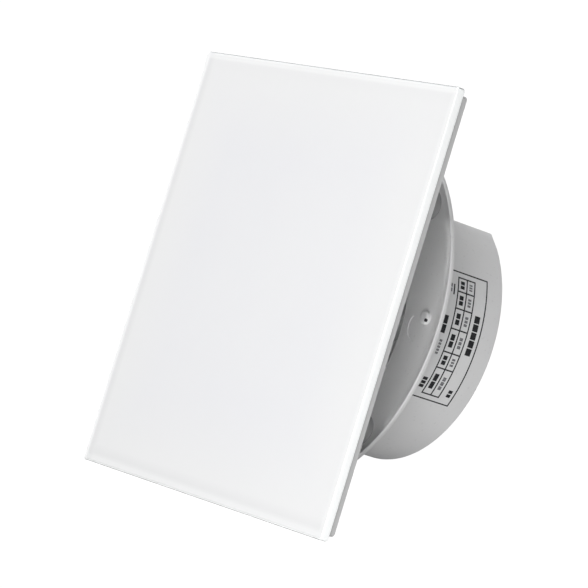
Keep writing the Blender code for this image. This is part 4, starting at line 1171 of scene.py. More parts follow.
@dataclass
class FanMoulding:
    """The one-piece flange, spigot, throat, motor pod and struts."""

    rim_radius: float = 68 * MM
    rim_curve: float = 6.6 * MM
    rim_rise: float = 1.9 * MM
    rim_power: float = 2.0
    rim_edge: float = 1.8 * MM
    rim_round: float = 0.5 * MM
    floor: float = 2 * MM
    spigot_radius: float = 49.5 * MM
    spigot_wall: float = 2 * MM
    spigot_length: float = 36.4 * MM
    flat_height: float = 40.1 * MM
    facet_turn: float = 45.0
    axis_z: float = -4.7 * MM
    throat_radius: float = 42.4 * MM
    throat_wall: float = 2 * MM
    throat_back: float = 12.5 * MM
    bell_radius: float = 4 * MM
    pod_radius: float = 23.5 * MM
    pod_wall: float = 1.5 * MM
    pod_front: float = 13.7 * MM
    pod_back: float = 36 * MM
    pod_end_wall: float = 1.6 * MM
    strut_width: float = 2.6 * MM
    strut_front: float = 24 * MM
    strut_back: float = 34 * MM
    socket_offset: float = 41.295 * MM
    socket_radius: float = 4.8 * MM
    socket_bore: float = 2.8 * MM
    socket_front: float = -10 * MM
    stub: Point = (57.7 * MM, 2.0 * MM)
    stub_radius: float = 2.5 * MM
    stub_height: float = 1.7 * MM
    # black discs of painted shade on the stubs, standing in for dark pin holes: where they sit and how big
    stub_shade_spot: Point = (59.5 * MM, 1.2 * MM)
    stub_shade_radius: float = 0.6 * MM
    side_pad: Point = (54.2 * MM, -1.5 * MM)
    pad_radius: float = 5.6 * MM
    slot_circle: float = 57 * MM
    slot_half_width: float = 2.2 * MM
    slot_length: float = 4 * MM
    slot_angles: tuple[int, ...] = (55, 125, 245, 295)
    grommet_grip: float = 0.7 * MM
    lead_hole: Point = (1.3 * MM, 46.1 * MM)
    lead_hole_radius: float = 1 * MM
    lead_drop_y: float = 17.6 * MM
    lead_drop_half: Point = (2.2 * MM, 0.9 * MM)
    bolt_hole: float = 1.7 * MM
    pilot_hole: float = 1.35 * MM
    guard_boss: Point = (2.8 * MM, -6.1 * MM)
    clamp_boss: Point = (1.9 * MM, -7 * MM)
    cover_boss: Point = (2.4 * MM, -14.6 * MM)

    @property
    def axis(self) -> Point:
        """Where the impeller's axis crosses X and Z."""
        return (0.0, self.axis_z)

    def border(self) -> Outline:
        """Half section of the flange's border, curving up from the floor to a rounded rim.

        Returns:
            The section, as (radius, Y) points.
        """
        start = self.rim_radius - self.rim_curve
        steps = 14
        front, back = [], []
        for i in range(steps + 1):
            part = i / steps
            radius = start + (self.rim_curve - self.rim_round) * part
            front.append((radius, -self.floor - self.rim_rise * part**self.rim_power))
            back.append((radius, (self.rim_edge - self.rim_rise - self.floor) * part**self.rim_power))
        top = (self.rim_radius - self.rim_round, -self.floor - self.rim_rise + self.rim_round)
        low = (top[0], top[1] + self.rim_edge - 2 * self.rim_round)
        rim = arc(top, self.rim_round, -90, 0, 5) + arc(low, self.rim_round, 0, 90, 5)
        return front[:-1] + rim + back[-2::-1]

    def slot_outline(self, angle: float) -> Outline:
        """One wall-screw slot, drawn along its own radius.

        Args:
            angle: the radius's angle, in degrees.

        Returns:
            The slot's outline.
        """
        inner = self.slot_circle - self.slot_length / 2
        outer = self.slot_circle + self.slot_length / 2
        half = self.slot_half_width
        ends = arc((outer, 0), half, -90, 90, 12) + arc((inner, 0), half, 90, 270, 12)
        return turned_outline(ends, angle)

    def flange(self, shape: Shape) -> None:
        """Adds the floor with its openings, and the border round it.

        Args:
            shape: what they are added to.
        """
        neck = half_width("cable_grommet") - self.grommet_grip
        leads = [(side * self.lead_hole[0], self.lead_hole[1]) for side in (-1, 1)]
        holes = [circle(self.axis, self.throat_radius + self.bell_radius, 128)]
        holes.append(circle(middle("cable_grommet"), neck, 48))
        holes += [self.slot_outline(angle) for angle in self.slot_angles]
        holes += [circle(lead, self.lead_hole_radius, 24) for lead in leads]
        start = self.rim_radius - self.rim_curve
        shape.slab([circle((0, 0), start, FINE_TURN), *holes], -self.floor, 0)
        shape.revolve(self.border(), (0, 0), FINE_TURN)

    def throat(self, shape: Shape) -> None:
        """Adds the bell-mouthed throat round the impeller.

        Args:
            shape: what it is added to.
        """
        mouth = self.throat_radius + self.bell_radius
        bell = arc((mouth, self.bell_radius - self.floor), self.bell_radius, 180, 270, 12)
        outer = self.throat_radius + self.throat_wall
        end = [(radius, self.throat_back, 0.5 * MM) for radius in (self.throat_radius, outer)]
        rest = [(outer, 1.5 * MM, 1.2 * MM), (mouth, 0, 0)]
        corners = [(x, y, 0.0) for x, y in bell[::-1]]
        shape.revolve(eased(corners + end + rest), self.axis, 160)

    def spigot_outline(self, radius: float, flat: float) -> Outline:
        """A circle with a flat on its top, and a narrow facet between the flat and the round on each side.

        Args:
            radius: the circle's radius.
            flat: how high the flat lies.

        Returns:
            The outline.
        """
        corner = math.degrees(math.asin(flat / radius))
        below = arc((0, 0), radius, self.facet_turn, -180 - self.facet_turn, 176)
        ends = [arc((0, 0), radius, turn, turn, 1)[0] for turn in (corner, 180 - corner)]
        return [ends[0], *below, ends[1]]

    def spigot(self) -> Piece:
        """The tube that goes into the duct, with the slot in its flat that the leads drop through.

        Returns:
            The tube.
        """
        wall = self.spigot_wall
        outer = self.spigot_outline(self.spigot_radius, self.flat_height)
        inner = self.spigot_outline(self.spigot_radius - wall, self.flat_height - wall)
        shape = Shape().slab([outer, inner], -self.floor / 2, self.spigot_length, 0.5 * MM)
        made = shape.object("spigot_moulding", WHITE, 8)
        across, along = self.lead_drop_half
        low = (-across, self.lead_drop_y - along, self.flat_height - 2 * wall)
        high = (across, self.lead_drop_y + along, self.flat_height + wall)
        return drilled(made, Shape().bar(low, high, 0.3 * MM))

    def pod(self, shape: Shape) -> None:
        """Adds the motor pod: its wall, and its end with two bolt holes.

        Args:
            shape: what it is added to.
        """
        inner = self.pod_radius - self.pod_wall
        face = inner - 0.5 * MM
        end = self.pod_back - self.pod_end_wall
        wall = [
            (inner, self.pod_front, 0.3 * MM),
            (self.pod_radius, self.pod_front, 0.4 * MM),
            (self.pod_radius, self.pod_back, 1.2 * MM),
            (face, self.pod_back, 0),
            (face, end, 0),
            (inner, end, 0),
        ]
        shape.revolve(eased(wall), self.axis, 120)
        bolts = [middle(f"motor_bolt_{index}") for index in (1, 2)]
        holes = [circle(bolt, self.bolt_hole, 32) for bolt in bolts]
        shape.slab([circle(self.axis, face, 120), *holes], end, self.pod_back)

    def struts(self, shape: Shape) -> None:
        """Adds the four ribs, each from the pod's wall to the spigot's.

        Args:
            shape: what they are added to.
        """
        back, front = self.strut_width / 2, 0.8 * self.strut_width / 2
        sunk, pod_sunk, end = 1 * MM, 0.6 * MM, 3 * MM
        reach = math.sqrt((self.spigot_radius - sunk) ** 2 - self.axis_z**2)
        start = self.pod_radius - pod_sunk
        up = self.flat_height - sunk - self.axis_z
        down = self.spigot_radius - sunk + self.axis_z
        profile = eased(
            [
                (self.strut_front, -front, 0.7 * MM),
                (self.strut_back, -back, 0.5 * MM),
                (self.strut_back, back, 0.5 * MM),
                (self.strut_front, front, 0.7 * MM),
            ]
        )
        for index, length in enumerate((reach, up, reach, down)):
            stations = (start, start + end, length - end, length)
            rib = Shape().grid([[Vector((x, y, z)) for y, z in profile] for x in stations])
            spin = Matrix.Rotation(-math.radians(90 * index), 4, "Y")
            shape.merge(rib.place(Matrix.Translation((0, 0, self.axis_z)) @ spin))

    def boss(self, shape: Shape, centre: Point, size: Point, hole: float, flare: float = 0.6) -> None:
        """Adds a round boss with a hole in its top and a small flare at its root.

        Args:
            shape: what it is added to.
            centre: the boss's axis, as (X, Z).
            size: its radius, and Y of its top.
            hole: the hole's radius.
            flare: how far the root spreads, in millimetres.
        """
        radius, top = size
        root = -self.floor
        edge = min(0.35 * MM, 0.3 * (radius - hole))
        profile = [
            (0, root - 0.1 * MM, 0),
            (hole, root - 0.1 * MM, 0),
            (hole, top, edge / 2),
            (radius, top, edge),
            (radius, root - flare * MM, flare * MM),
            (radius + flare * MM, root + 0.2 * MM, 0),
            (0, root + 0.2 * MM, 0),
        ]
        shape.revolve(eased(profile), centre, 48)

    def side_stub(self, shape: Shape, side: int) -> None:
        """Adds the soft-topped stub on one side, and the thin crescent of the pad beside it.

        Args:
            shape: what they are added to.
            side: 1 for the right-hand stub, -1 for the left.
        """
        root = -self.floor
        radius = self.stub_radius
        dome = [
            (0, root + 0.2 * MM, 0),
            (0, root - self.stub_height, 0),
            (radius - 0.2 * MM, root - self.stub_height + 0.1 * MM, 0.9 * MM),
            (radius, root + 0.2 * MM, 0),
        ]
        shape.revolve(eased(dome), (side * self.stub[0], self.stub[1]), 48)
        inner, outer = self.pad_radius - 0.3 * MM, self.pad_radius
        crescent = arc((0, 0), outer, 140, 268, 40) + arc((0, 0), inner, 268, 140, 40)
        moved = [(side * (self.side_pad[0] + x), self.side_pad[1] + z) for x, z in crescent]
        shape.slab([moved], root - 0.35 * MM, root + 0.2 * MM, 0.1 * MM)

    def stub_hole_shades(self) -> None:
        """Makes and seats black discs on the two stubs: painted shade standing in for dark pin holes."""
        face = -self.floor - self.stub_height - 0.02 * MM
        shape = Shape()
        for side in (-1, 1):
            hole = (side * self.stub_shade_spot[0], self.stub_shade_spot[1])
            shape.slab([circle(hole, self.stub_shade_radius, 24)], face, face + 0.6 * MM)
        seat(shape.object("stub_hole_shades", BLACK), Body.BASE, Slot.BLACK)

    def fittings(self, shape: Shape) -> None:
        """Adds the stubs and every small boss on the floor.

        Args:
            shape: what they are added to.
        """
        for side in (-1, 1):
            self.side_stub(shape, side)
        for index in (1, 2, 3):
            self.boss(shape, middle(f"guard_screw_{index}"), self.guard_boss, self.pilot_hole)
        for index in (1, 2):
            self.boss(shape, middle(f"clamp_screw_{index}"), self.clamp_boss, self.pilot_hole, 0.4)
        self.boss(shape, middle("terminal_cover_screw"), self.cover_boss, self.pilot_hole)

    def sockets(self) -> None:
        """Makes and seats the four sockets that the panel's posts snap into, in a dark grey that paints in
        the shade round them.
        """
        shape = Shape()
        for centre in square(self.socket_offset):
            self.boss(shape, centre, (self.socket_radius, self.socket_front), self.socket_bore, 0.9)
        seat(shape.object("snap_sockets", PAINTED_SHADE_GREY), Body.BASE, Slot.GREY)

    def build(self) -> None:
        """Makes and seats the moulding: its body, its spigot, its sockets and the painted shade discs on
        the stubs.
        """
        shape = Shape()
        self.flange(shape)
        self.throat(shape)
        self.pod(shape)
        self.struts(shape)
        self.fittings(shape)
        seat(shape.object("fan_moulding", WHITE), Body.BASE, Slot.WHITE, "fan_body")
        seat(self.spigot(), Body.BASE, Slot.WHITE, "fan_body")
        self.sockets()
        self.stub_hole_shades()


# ---------------------------------------------------------------- rating print


@dataclass
class RatingPrint:
    """The blank rating table on the spigot's side: a frame, a grid and bars where words would be."""

    radius: float = 49.5 * MM
    lift: float = 0.03 * MM
    line: float = 0.5 * MM
    frame_sides: tuple[float, float] = (8 * MM, 28.9 * MM)
    frame_turns: tuple[float, float] = (-29.5, 26.4)
    columns: tuple[float, float, float] = (15.6 * MM, 19.6 * MM, 23.2 * MM)
    rows: tuple[float, ...] = (24.0, 18.1, 10.9, 2.4, -7.5, -14.6, -27.0)
    cell_margin: float = 1.1 * MM
    root: float = 0.1 * MM
    word_gap: float = 0.35 * MM
    patch_turn: float = 1.5
    bold_words: tuple[Words, ...] = (
        ((24.9, 27.3), (-6.4, 10.4), 5),
        ((25.8, 27.5), (-25.8, -22.4), 2),
        ((11.2, 13.4), (-0.6, 6.9), 2),
        ((12.6, 14.6), (-24.9, -20.0), 3),
    )
    faint_words: tuple[Words, ...] = (
        ((12.4, 13.6), (-9.6, -3.3), 5),
        ((12.4, 13.0), (17.0, 20.6), 2),
    )
    dash: tuple[Point, Point] = ((13.6 * MM, 14.2 * MM), (16.1, 20.6))

    def patch(self, shape: Shape, sides: Point, turns: Point) -> None:
        """Adds a thin patch of ink that follows the spigot's curve.

        Args:
            shape: what it is added to.
            sides: its two Y values.
            turns: its two angles, in degrees.
        """
        steps = max(2, math.ceil(abs(turns[1] - turns[0]) / self.patch_turn))
        rows = []
        for i in range(steps + 1):
            turn = math.radians(turns[0] + (turns[1] - turns[0]) * i / steps)
            section = []
            for reach, y in ((-self.root, 0), (self.lift, 0), (self.lift, 1), (-self.root, 1)):
                radius = self.radius + reach
                section.append(Vector((radius * math.cos(turn), sides[y], radius * math.sin(turn))))
            rows.append(section)
        shape.grid(rows)

    def degrees(self, length: float) -> float:
        """The angle that a length takes round the spigot."""
        return math.degrees(length / self.radius)

    def along(self, shape: Shape, sides: Point, turn: float) -> None:
        """Adds a line along the spigot's axis."""
        half = self.degrees(self.line) / 2
        self.patch(shape, sides, (turn - half, turn + half))

    def round_line(self, shape: Shape, y: float, turns: Point) -> None:
        """Adds a line round the spigot."""
        half = self.line / 2
        self.patch(shape, (y - half, y + half), turns)

    def words(self, shape: Shape, sides: Point, turns: Point, count: int) -> None:
        """Adds a row of short blank bars where a word would be.

        Args:
            shape: what they are added to.
            sides: the row's two Y values.
            turns: its two angles, in degrees.
            count: how many bars it has.
        """
        gap = self.degrees(self.word_gap)
        width = (turns[1] - turns[0] + gap) / count
        for index in range(count):
            start = turns[0] + index * width
            self.patch(shape, sides, (start, start + width - gap))

    def lines(self) -> Shape:
        """The frame and the grid.

        Returns:
            The lines.
        """
        shape = Shape()
        half = self.line / 2
        for turn in self.frame_turns:
            self.along(shape, (self.frame_sides[0] - half, self.frame_sides[1] + half), turn)
        for y in self.frame_sides:
            self.round_line(shape, y, self.frame_turns)
        for turn in self.rows:
            self.along(shape, (self.columns[0] - half, self.columns[2] + half), turn)
        for y in self.columns:
            self.round_line(shape, y, (self.rows[-1], self.rows[0]))
        return shape

    def bars(self, column: int, inset: float, count: int, words: tuple[Words, ...]) -> Shape:
        """The bars in one column's cells, and those that stand beside the table.

        Args:
            column: the column, 0 for the headings and 1 for the values.
            inset: the share of a cell that is left clear on each side of its bars.
            count: how many bars each cell has.
            words: the rows beside the table: Y values in millimetres, angles in degrees and how many bars.

        Returns:
            The bars.
        """
        shape = Shape()
        margin = self.degrees(self.cell_margin)
        cell = (self.columns[column] + self.cell_margin, self.columns[column + 1] - self.cell_margin)
        for upper, lower in zip(self.rows, self.rows[1:]):
            clear = max(margin, (upper - lower) * inset)
            self.words(shape, cell, (lower + clear, upper - clear), count)
        for sides, turns, bars in words:
            self.words(shape, (sides[0] * MM, sides[1] * MM), turns, bars)
        return shape

    def build(self) -> None:
        """Makes and seats the print."""
        bold = self.bars(0, 0.22, 2, self.bold_words)
        self.patch(bold, *self.dash)
        faint = self.bars(1, 0.26, 3, self.faint_words)
        seat(self.lines().object("rating_print_lines", INK), Body.BASE, Slot.BLACK)
        seat(bold.object("rating_print_bars", INK), Body.BASE, Slot.BLACK)
        seat(faint.object("rating_print_values", FAINT_INK), Body.BASE, Slot.BLACK)


# ---------------------------------------------------------------- finger guard


@dataclass
class InletGuard:
    """The round guard in front of the impeller and its three screws."""

    radius: float = 46.6 * MM
    hub_radius: float = 7 * MM
    ring_width: float = 1.6 * MM
    rings: int = 4
    spokes: int = 6
    ear_radius: float = 3.2 * MM
    ear_circle: float = 50 * MM
    ears: tuple[int, ...] = (60, 180, 300)
    hole: float = 1.5 * MM
    edge: float = 0.45 * MM
    step: float = 1.6 * MM
    head_height: float = 1.3 * MM

    def outline(self, centre: Point) -> Outline:
        """The guard's edge: a circle with three round-ended ears.

        Args:
            centre: the guard's axis, as (X, Z).

        Returns:
            The outline.
        """
        points: Outline = []
        opening = math.degrees(math.asin(self.ear_radius / self.radius))
        for index, angle in enumerate(self.ears):
            before = self.ears[index - 1] - (360 if index == 0 else 0)
            points += arc(centre, self.radius, before + opening, angle - opening, 60)
            points += arc(spot(angle, self.ear_circle, centre), self.ear_radius, angle - 90, angle + 90, 16)
        return points

    def opening(self, centre: Point, inner: float, outer: float, spoke: int) -> Outline:
        """The opening between two rings, from one spoke to the next.

        Args:
            centre: the guard's axis, as (X, Z).
            inner: the inner ring's outer radius.
            outer: the outer ring's inner radius.
            spoke: the number of the spoke that it starts from.

        Returns:
            The opening's outline.
        """
        half = self.ring_width / 2
        turn = 360 / self.spokes
        near = math.degrees(math.asin(half / inner))
        far = math.degrees(math.asin(half / outer))
        steps = max(8, round(outer / self.step))
        start = turn * spoke
        outward = arc(centre, outer, start + far, start + turn - far, steps)
        inward = arc(centre, inner, start + turn - near, start + near, steps)
        return outward + inward

    def build(self) -> None:
        """Makes and seats the guard and its screws."""
        low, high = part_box("inlet_guard")
        centre = middle("motor_cap")
        half = self.ring_width / 2
        step = (self.radius - half - self.hub_radius) / self.rings
        outlines = [self.outline(centre), circle(centre, self.hub_radius - half, 48)]
        for index in range(self.rings):
            inner = self.hub_radius + index * step + half
            outer = inner + step - self.ring_width
            outlines += [self.opening(centre, inner, outer, spoke) for spoke in range(self.spokes)]
        outlines += [circle(spot(angle, self.ear_circle, centre), self.hole, 32) for angle in self.ears]
        guard = Shape().slab(outlines, low.y, high.y, self.edge)
        seat(guard.object("finger_guard", WHITE), Body.BASE, Slot.WHITE, "inlet_guard")
        for index in (1, 2, 3):
            screw = f"guard_screw_{index}"
            seat(pan_screw(screw, self.head_height), Body.BASE, Slot.STEEL, screw)


def pan_screw(node: str, head_height: float, shank: float = 1.2 * MM) -> Piece:
    """A slotted screw with a domed head and a threaded shank, made to a packed screw's box.

    Args:
        node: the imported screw.
        head_height: how tall its head is.
        shank: the shank's radius.

    Returns:
        The screw.
    """
    low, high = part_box(node)
    centre = middle(node)
    radius = half_width(node)
    seat_y = low.y + head_height
    shape = screw_head(centre, low.y, seat_y, radius, 0.35 * radius, 35)
    pitch, crest, core, point = 0.55 * MM, 0.1 * MM, 0.8 * shank, 0.25 * shank
    turns = max(1, int((high.y - seat_y - shank) / pitch))
    thread: Outline = [(0, seat_y - crest), (shank, seat_y - crest)]
    for turn in range(turns):
        start = seat_y + turn * pitch
        thread += [(shank, start + crest), (core, start + 0.3 * MM), (core, start + 0.4 * MM)]
    thread += [(core, high.y - 0.6 * shank), (point, high.y), (0, high.y)]
    return shape.revolve(thread, centre, 32).object(node + "_turned", STEEL, 30)


# ---------------------------------------------------------------- impeller


@dataclass
class Impeller:
    """The seven-bladed axial impeller and its nut."""

    radius: float = 41.2 * MM
    hub_radius: float = 17 * MM
    hub_wall: float = 1.6 * MM
    hub_front: float = 0.5 * MM
    hub_length: float = 11 * MM
    hub_round: float = 2 * MM
    boss_radius: float = 4 * MM
    bore: float = 1.65 * MM
    blades: int = 7
    thickness: float = 1.3 * MM
    axial: float = 9.6 * MM
    span_turn: float = math.radians(33)
    sweep: float = math.radians(14)
    camber: float = 1.1 * MM
    thinning: float = 0.25
    sweep_power: float = 1.5
    fullness: int = 6
    nut_radius: float = 3 * MM

    def hub(self, shape: Shape, centre: Point) -> None:
        """Adds the cup-shaped hub with its shaft boss and a shallow ring on its face.

        Args:
            shape: what it is added to.
            centre: the hub's axis, as (X, Z).
        """
        inner = self.hub_radius - self.hub_wall
        face = self.hub_front + self.hub_wall
        back = self.hub_front + self.hub_length
        boss_back = back - self.hub_wall
        ring_floor = self.hub_front + 0.4 * MM
        fine = 0.1 * MM
        profile = [
            (self.bore, self.hub_front, 0),
            (7 * MM, self.hub_front, fine),
            (7.3 * MM, ring_floor, fine),
            (8.3 * MM, ring_floor, fine),
            (8.6 * MM, self.hub_front, fine),
            (self.hub_radius, self.hub_front, self.hub_round),
            (self.hub_radius, back, 0.3 * MM),
            (inner, back, 0.3 * MM),
            (inner, face, 0.8 * MM),
            (self.boss_radius, face, 0.5 * MM),
            (self.boss_radius, boss_back, 0.3 * MM),
            (self.bore, boss_back, 0),
        ]
        shape.revolve(eased(profile, 6), centre, 120)

    def blade(self, shape: Shape, centre: Point, base: float) -> None:
        """Adds one blade: an aerofoil section twisted and swept from root to tip.

        Args:
            shape: what it is added to.
            centre: the hub's axis, as (X, Z).
            base: the blade's angle in radians.
        """
        along, across = 20, 14
        root = self.hub_radius - 0.75 * self.hub_wall
        middle_y = self.hub_front + self.hub_length / 2
        edge = 0.12 * self.thickness
        rows = []
        for i in range(along + 1):
            part = i / along
            radius = root + (self.radius - root) * part
            lean = math.atan2(self.axial * (1 - self.thinning * part), radius * self.span_turn)
            section = []
            for side in (1, -1):
                for j in range(across + 1):
                    share = j / across if side > 0 else 1 - j / across
                    chord = share - 0.5
                    if side < 0 and j in (0, across):
                        continue
                    bulge = self.thickness / 2 * (1 - (2 * chord) ** self.fullness) * (1.08 - 0.3 * part)
                    lift = self.camber * (1 - 4 * chord**2)
                    turn = base + self.sweep * part**self.sweep_power + self.span_turn * chord
                    y = middle_y + self.axial * chord * (1 - self.thinning * part) - lift
                    off = side * (bulge + (edge if 0 < j < across else 0))
                    turn -= off * math.sin(lean) / radius
                    y += off * math.cos(lean)
                    x = centre[0] + radius * math.cos(turn)
                    section.append(Vector((x, y, centre[1] + radius * math.sin(turn))))
            rows.append(section)
        shape.grid(rows)

    def build(self) -> None:
        """Makes and seats the impeller and its nut."""
        centre = middle("motor_cap")
        shape = Shape()
        self.hub(shape, centre)
        for index in range(self.blades):
            self.blade(shape, centre, 2 * math.pi * index / self.blades)
        seat(shape.object("impeller_moulding", GREY, 40), Body.ROTOR, Slot.GREY, "impeller")
        low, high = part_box("impeller_nut")
        hexagon = eased([(*point, 0.25 * MM) for point in arc(centre, self.nut_radius, 0, 300, 5)], 3)
        nut = Shape().slab([hexagon, circle(centre, self.bore, 32)], low.y, high.y, 0.2 * MM)
        seat(nut.object("turned_nut", BRASS), Body.ROTOR, Slot.BRASS, "impeller_nut")


# ---------------------------------------------------------------- motor


@dataclass
class Motor:
    """The shaded-pole motor inside the pod, and the cap that closes the pod."""

    cap_thickness: float = 1.2 * MM
    cap_lip: float = 2.1 * MM
    cap_bore: float = 7 * MM
    cap_lip_radius: float = 21.7 * MM

    def cap(self) -> Piece:
        """The pod's cap, with a turned-in lip and a rounded rim.

        Returns:
            The cap.
        """
        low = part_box("motor_cap")[0]
        radius = half_width("motor_cap")
        back = low.y + self.cap_thickness
        lip = self.cap_lip_radius
        profile = [
            (self.cap_bore, low.y, 0.3 * MM),
            (radius, low.y, 0.7 * MM),
            (radius, back, 0.1 * MM),
            (lip, back, 0),
            (lip, back + self.cap_lip, 0.3 * MM),
            (lip - self.cap_thickness, back + self.cap_lip, 0.3 * MM),
            (lip - self.cap_thickness, back, 0),
            (self.cap_bore, back, 0.3 * MM),
        ]
        shape = Shape().revolve(eased(profile), middle("motor_cap"), 120)
        return shape.object("pod_cap", WHITE)

    def build(self) -> None:
        """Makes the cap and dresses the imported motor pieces."""
        seat(self.cap(), Body.BASE, Slot.WHITE, "motor_cap")
        finishes = {
            "stator_core": LAMINATION,
            "rotor_core": LAMINATION,
            "motor_shaft": GROUND_STEEL,
            "front_bearing": BRONZE,
            "rear_bearing": BRONZE,
            "front_bearing_bridge": ALUMINIUM,
            "rear_bearing_bridge": ALUMINIUM,
            "front_thrust_washer": FIBRE,
            "rear_thrust_washer": FIBRE,
            "motor_bolt_1": STEEL,
            "motor_bolt_2": STEEL,
            "thermal_cutout": BLACK,
        }
        finishes |= {f"winding_{index}": COPPER for index in range(1, 5)}
        finishes |= {f"shading_ring_{index}": COPPER_BAR for index in range(1, 5)}
        for node, finish in finishes.items():
            dress(node, finish)


# ---------------------------------------------------------------- terminal compartment


@dataclass
class TerminalCompartment:
    """The cover over the terminal block, with its screw, and the wires that leave it."""

    wall: float = 1.2 * MM
    edge: float = 1 * MM
    lead_x: float = 1.3 * MM
    lead_hole_z: float = 46.1 * MM
    lead_radius: float = 0.6 * MM
    lead_bend: float = 1.2 * MM
    lead_behind: float = 3 * MM
    lead_level: float = 41.7 * MM
    lead_drop: float = 17.6 * MM
    entry_y: float = -2 * MM
    head_height: float = 1.3 * MM
    screw_hole: float = 1.5 * MM

    def cover(self) -> Piece:
        """The cover: a rounded front with a screw hole, and four walls behind it.

        Returns:
            The cover.
        """
        low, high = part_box("terminal_cover")
        wall = self.wall
        outline = round_box((low.x, low.z), (high.x, high.z), self.edge)
        inner = round_box((low.x + wall, low.z + wall), (high.x - wall, high.z - wall), 0.6 * MM)
        hole = circle(middle("terminal_cover_screw"), self.screw_hole, 32)
        shape = Shape().slab([outline, hole], low.y, low.y + self.wall, 0.5 * MM)
        shape.slab([outline, inner], low.y + self.wall / 2, high.y, 0.3 * MM)
        return shape.object("terminal_cover_moulding", WHITE)

    def grommet(self) -> Piece:
        """The rubber grommet that the supply cable would come in through.

        Returns:
            The grommet.
        """
        low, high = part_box("cable_grommet")
        radius = half_width("cable_grommet")
        neck, bore = radius - 1 * MM, radius - 2 * MM
        front, back = -2.3 * MM, 0.3 * MM
        profile = [
            (bore, low.y, 0.4 * MM),
            (radius, low.y, 0.5 * MM),
            (radius, front, 0.1 * MM),
            (neck, front, 0),
            (neck, back, 0),
            (radius, back, 0.1 * MM),
            (radius, high.y, 0.6 * MM),
            (bore, high.y, 0.4 * MM),
        ]
        shape = Shape().revolve(eased(profile), middle("cable_grommet"), 64)
        return shape.object("grommet_moulding", RUBBER)

    def lead(self, name: str, pole: str, side: int, finish: Finish) -> Piece:
        """One motor lead, from its terminal through the flange and along the flat into the pod.

        Args:
            name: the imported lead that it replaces.
            pole: the terminal screw over its end.
            side: -1 or 1, the side of the flange's middle that it passes.
            finish: its insulation.

        Returns:
            The lead.
        """
        low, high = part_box(name)
        x = side * self.lead_x
        start = middle(pole)[0]
        bend = self.lead_bend
        entry = low.y + self.lead_radius
        top = high.z
        points = [
            (start, entry, top),
            (start, entry, self.lead_hole_z + bend),
            (start + (x - start) / 3, entry + bend / 2, self.lead_hole_z),
            (x, self.entry_y - bend, self.lead_hole_z),
            (x, self.lead_behind - bend, self.lead_hole_z),
            (x, self.lead_behind, self.lead_hole_z - bend),
            (x, self.lead_behind, self.lead_level + bend),
            (x, self.lead_behind + bend, self.lead_level),
            (x, self.lead_drop - bend, self.lead_level),
            (x, self.lead_drop, self.lead_level - bend),
            (x, self.lead_drop, low.z),
        ]
        return tube(name + "_wire", [Vector(point) for point in points], self.lead_radius * 0.97, finish)

    def build(self) -> None:
        """Makes and seats the compartment's pieces."""
        seat(self.cover(), Body.COVER, Slot.WHITE, "terminal_cover")
        screw = pan_screw("terminal_cover_screw", self.head_height)
        seat(screw, Body.COVER, Slot.STEEL, "terminal_cover_screw")
        seat(self.grommet(), Body.BASE, Slot.RUBBER, "cable_grommet")
        dress("terminal_block", BLACK)
        dress("cable_clamp", WHITE)
        for index in (1, 2, 3):
            dress(f"terminal_screw_{index}", BRASS)
        for index in (1, 2):
            dress(f"clamp_screw_{index}", STEEL)
        for name, pole, side, finish, slot in (
            ("motor_lead_live", "terminal_screw_1", -1, BROWN, Slot.BROWN),
            ("motor_lead_neutral", "terminal_screw_2", 1, BLUE, Slot.BLUE),
        ):
            seat(self.lead(name, pole, side, finish), Body.BASE, slot, name)


# ---------------------------------------------------------------- studio


@dataclass(frozen=True)
class Softbox:
    """A rectangular lamp that faces the object."""

    name: str
    place: Place
    aim: Place
    size: Point
    power: float

    def build(self) -> None:
        """Hangs the lamp."""
        lamp = bpy.data.lights.new(self.name, "AREA")
        lamp.shape = "RECTANGLE"
        lamp.size, lamp.size_y = self.size
        lamp.energy = self.power
        made = bpy.data.objects.new(self.name, lamp)
        made.location = self.place
        made.rotation_euler = (Vector(self.aim) - Vector(self.place)).to_track_quat("-Z", "Y").to_euler()
        bpy.context.scene.collection.objects.link(made)


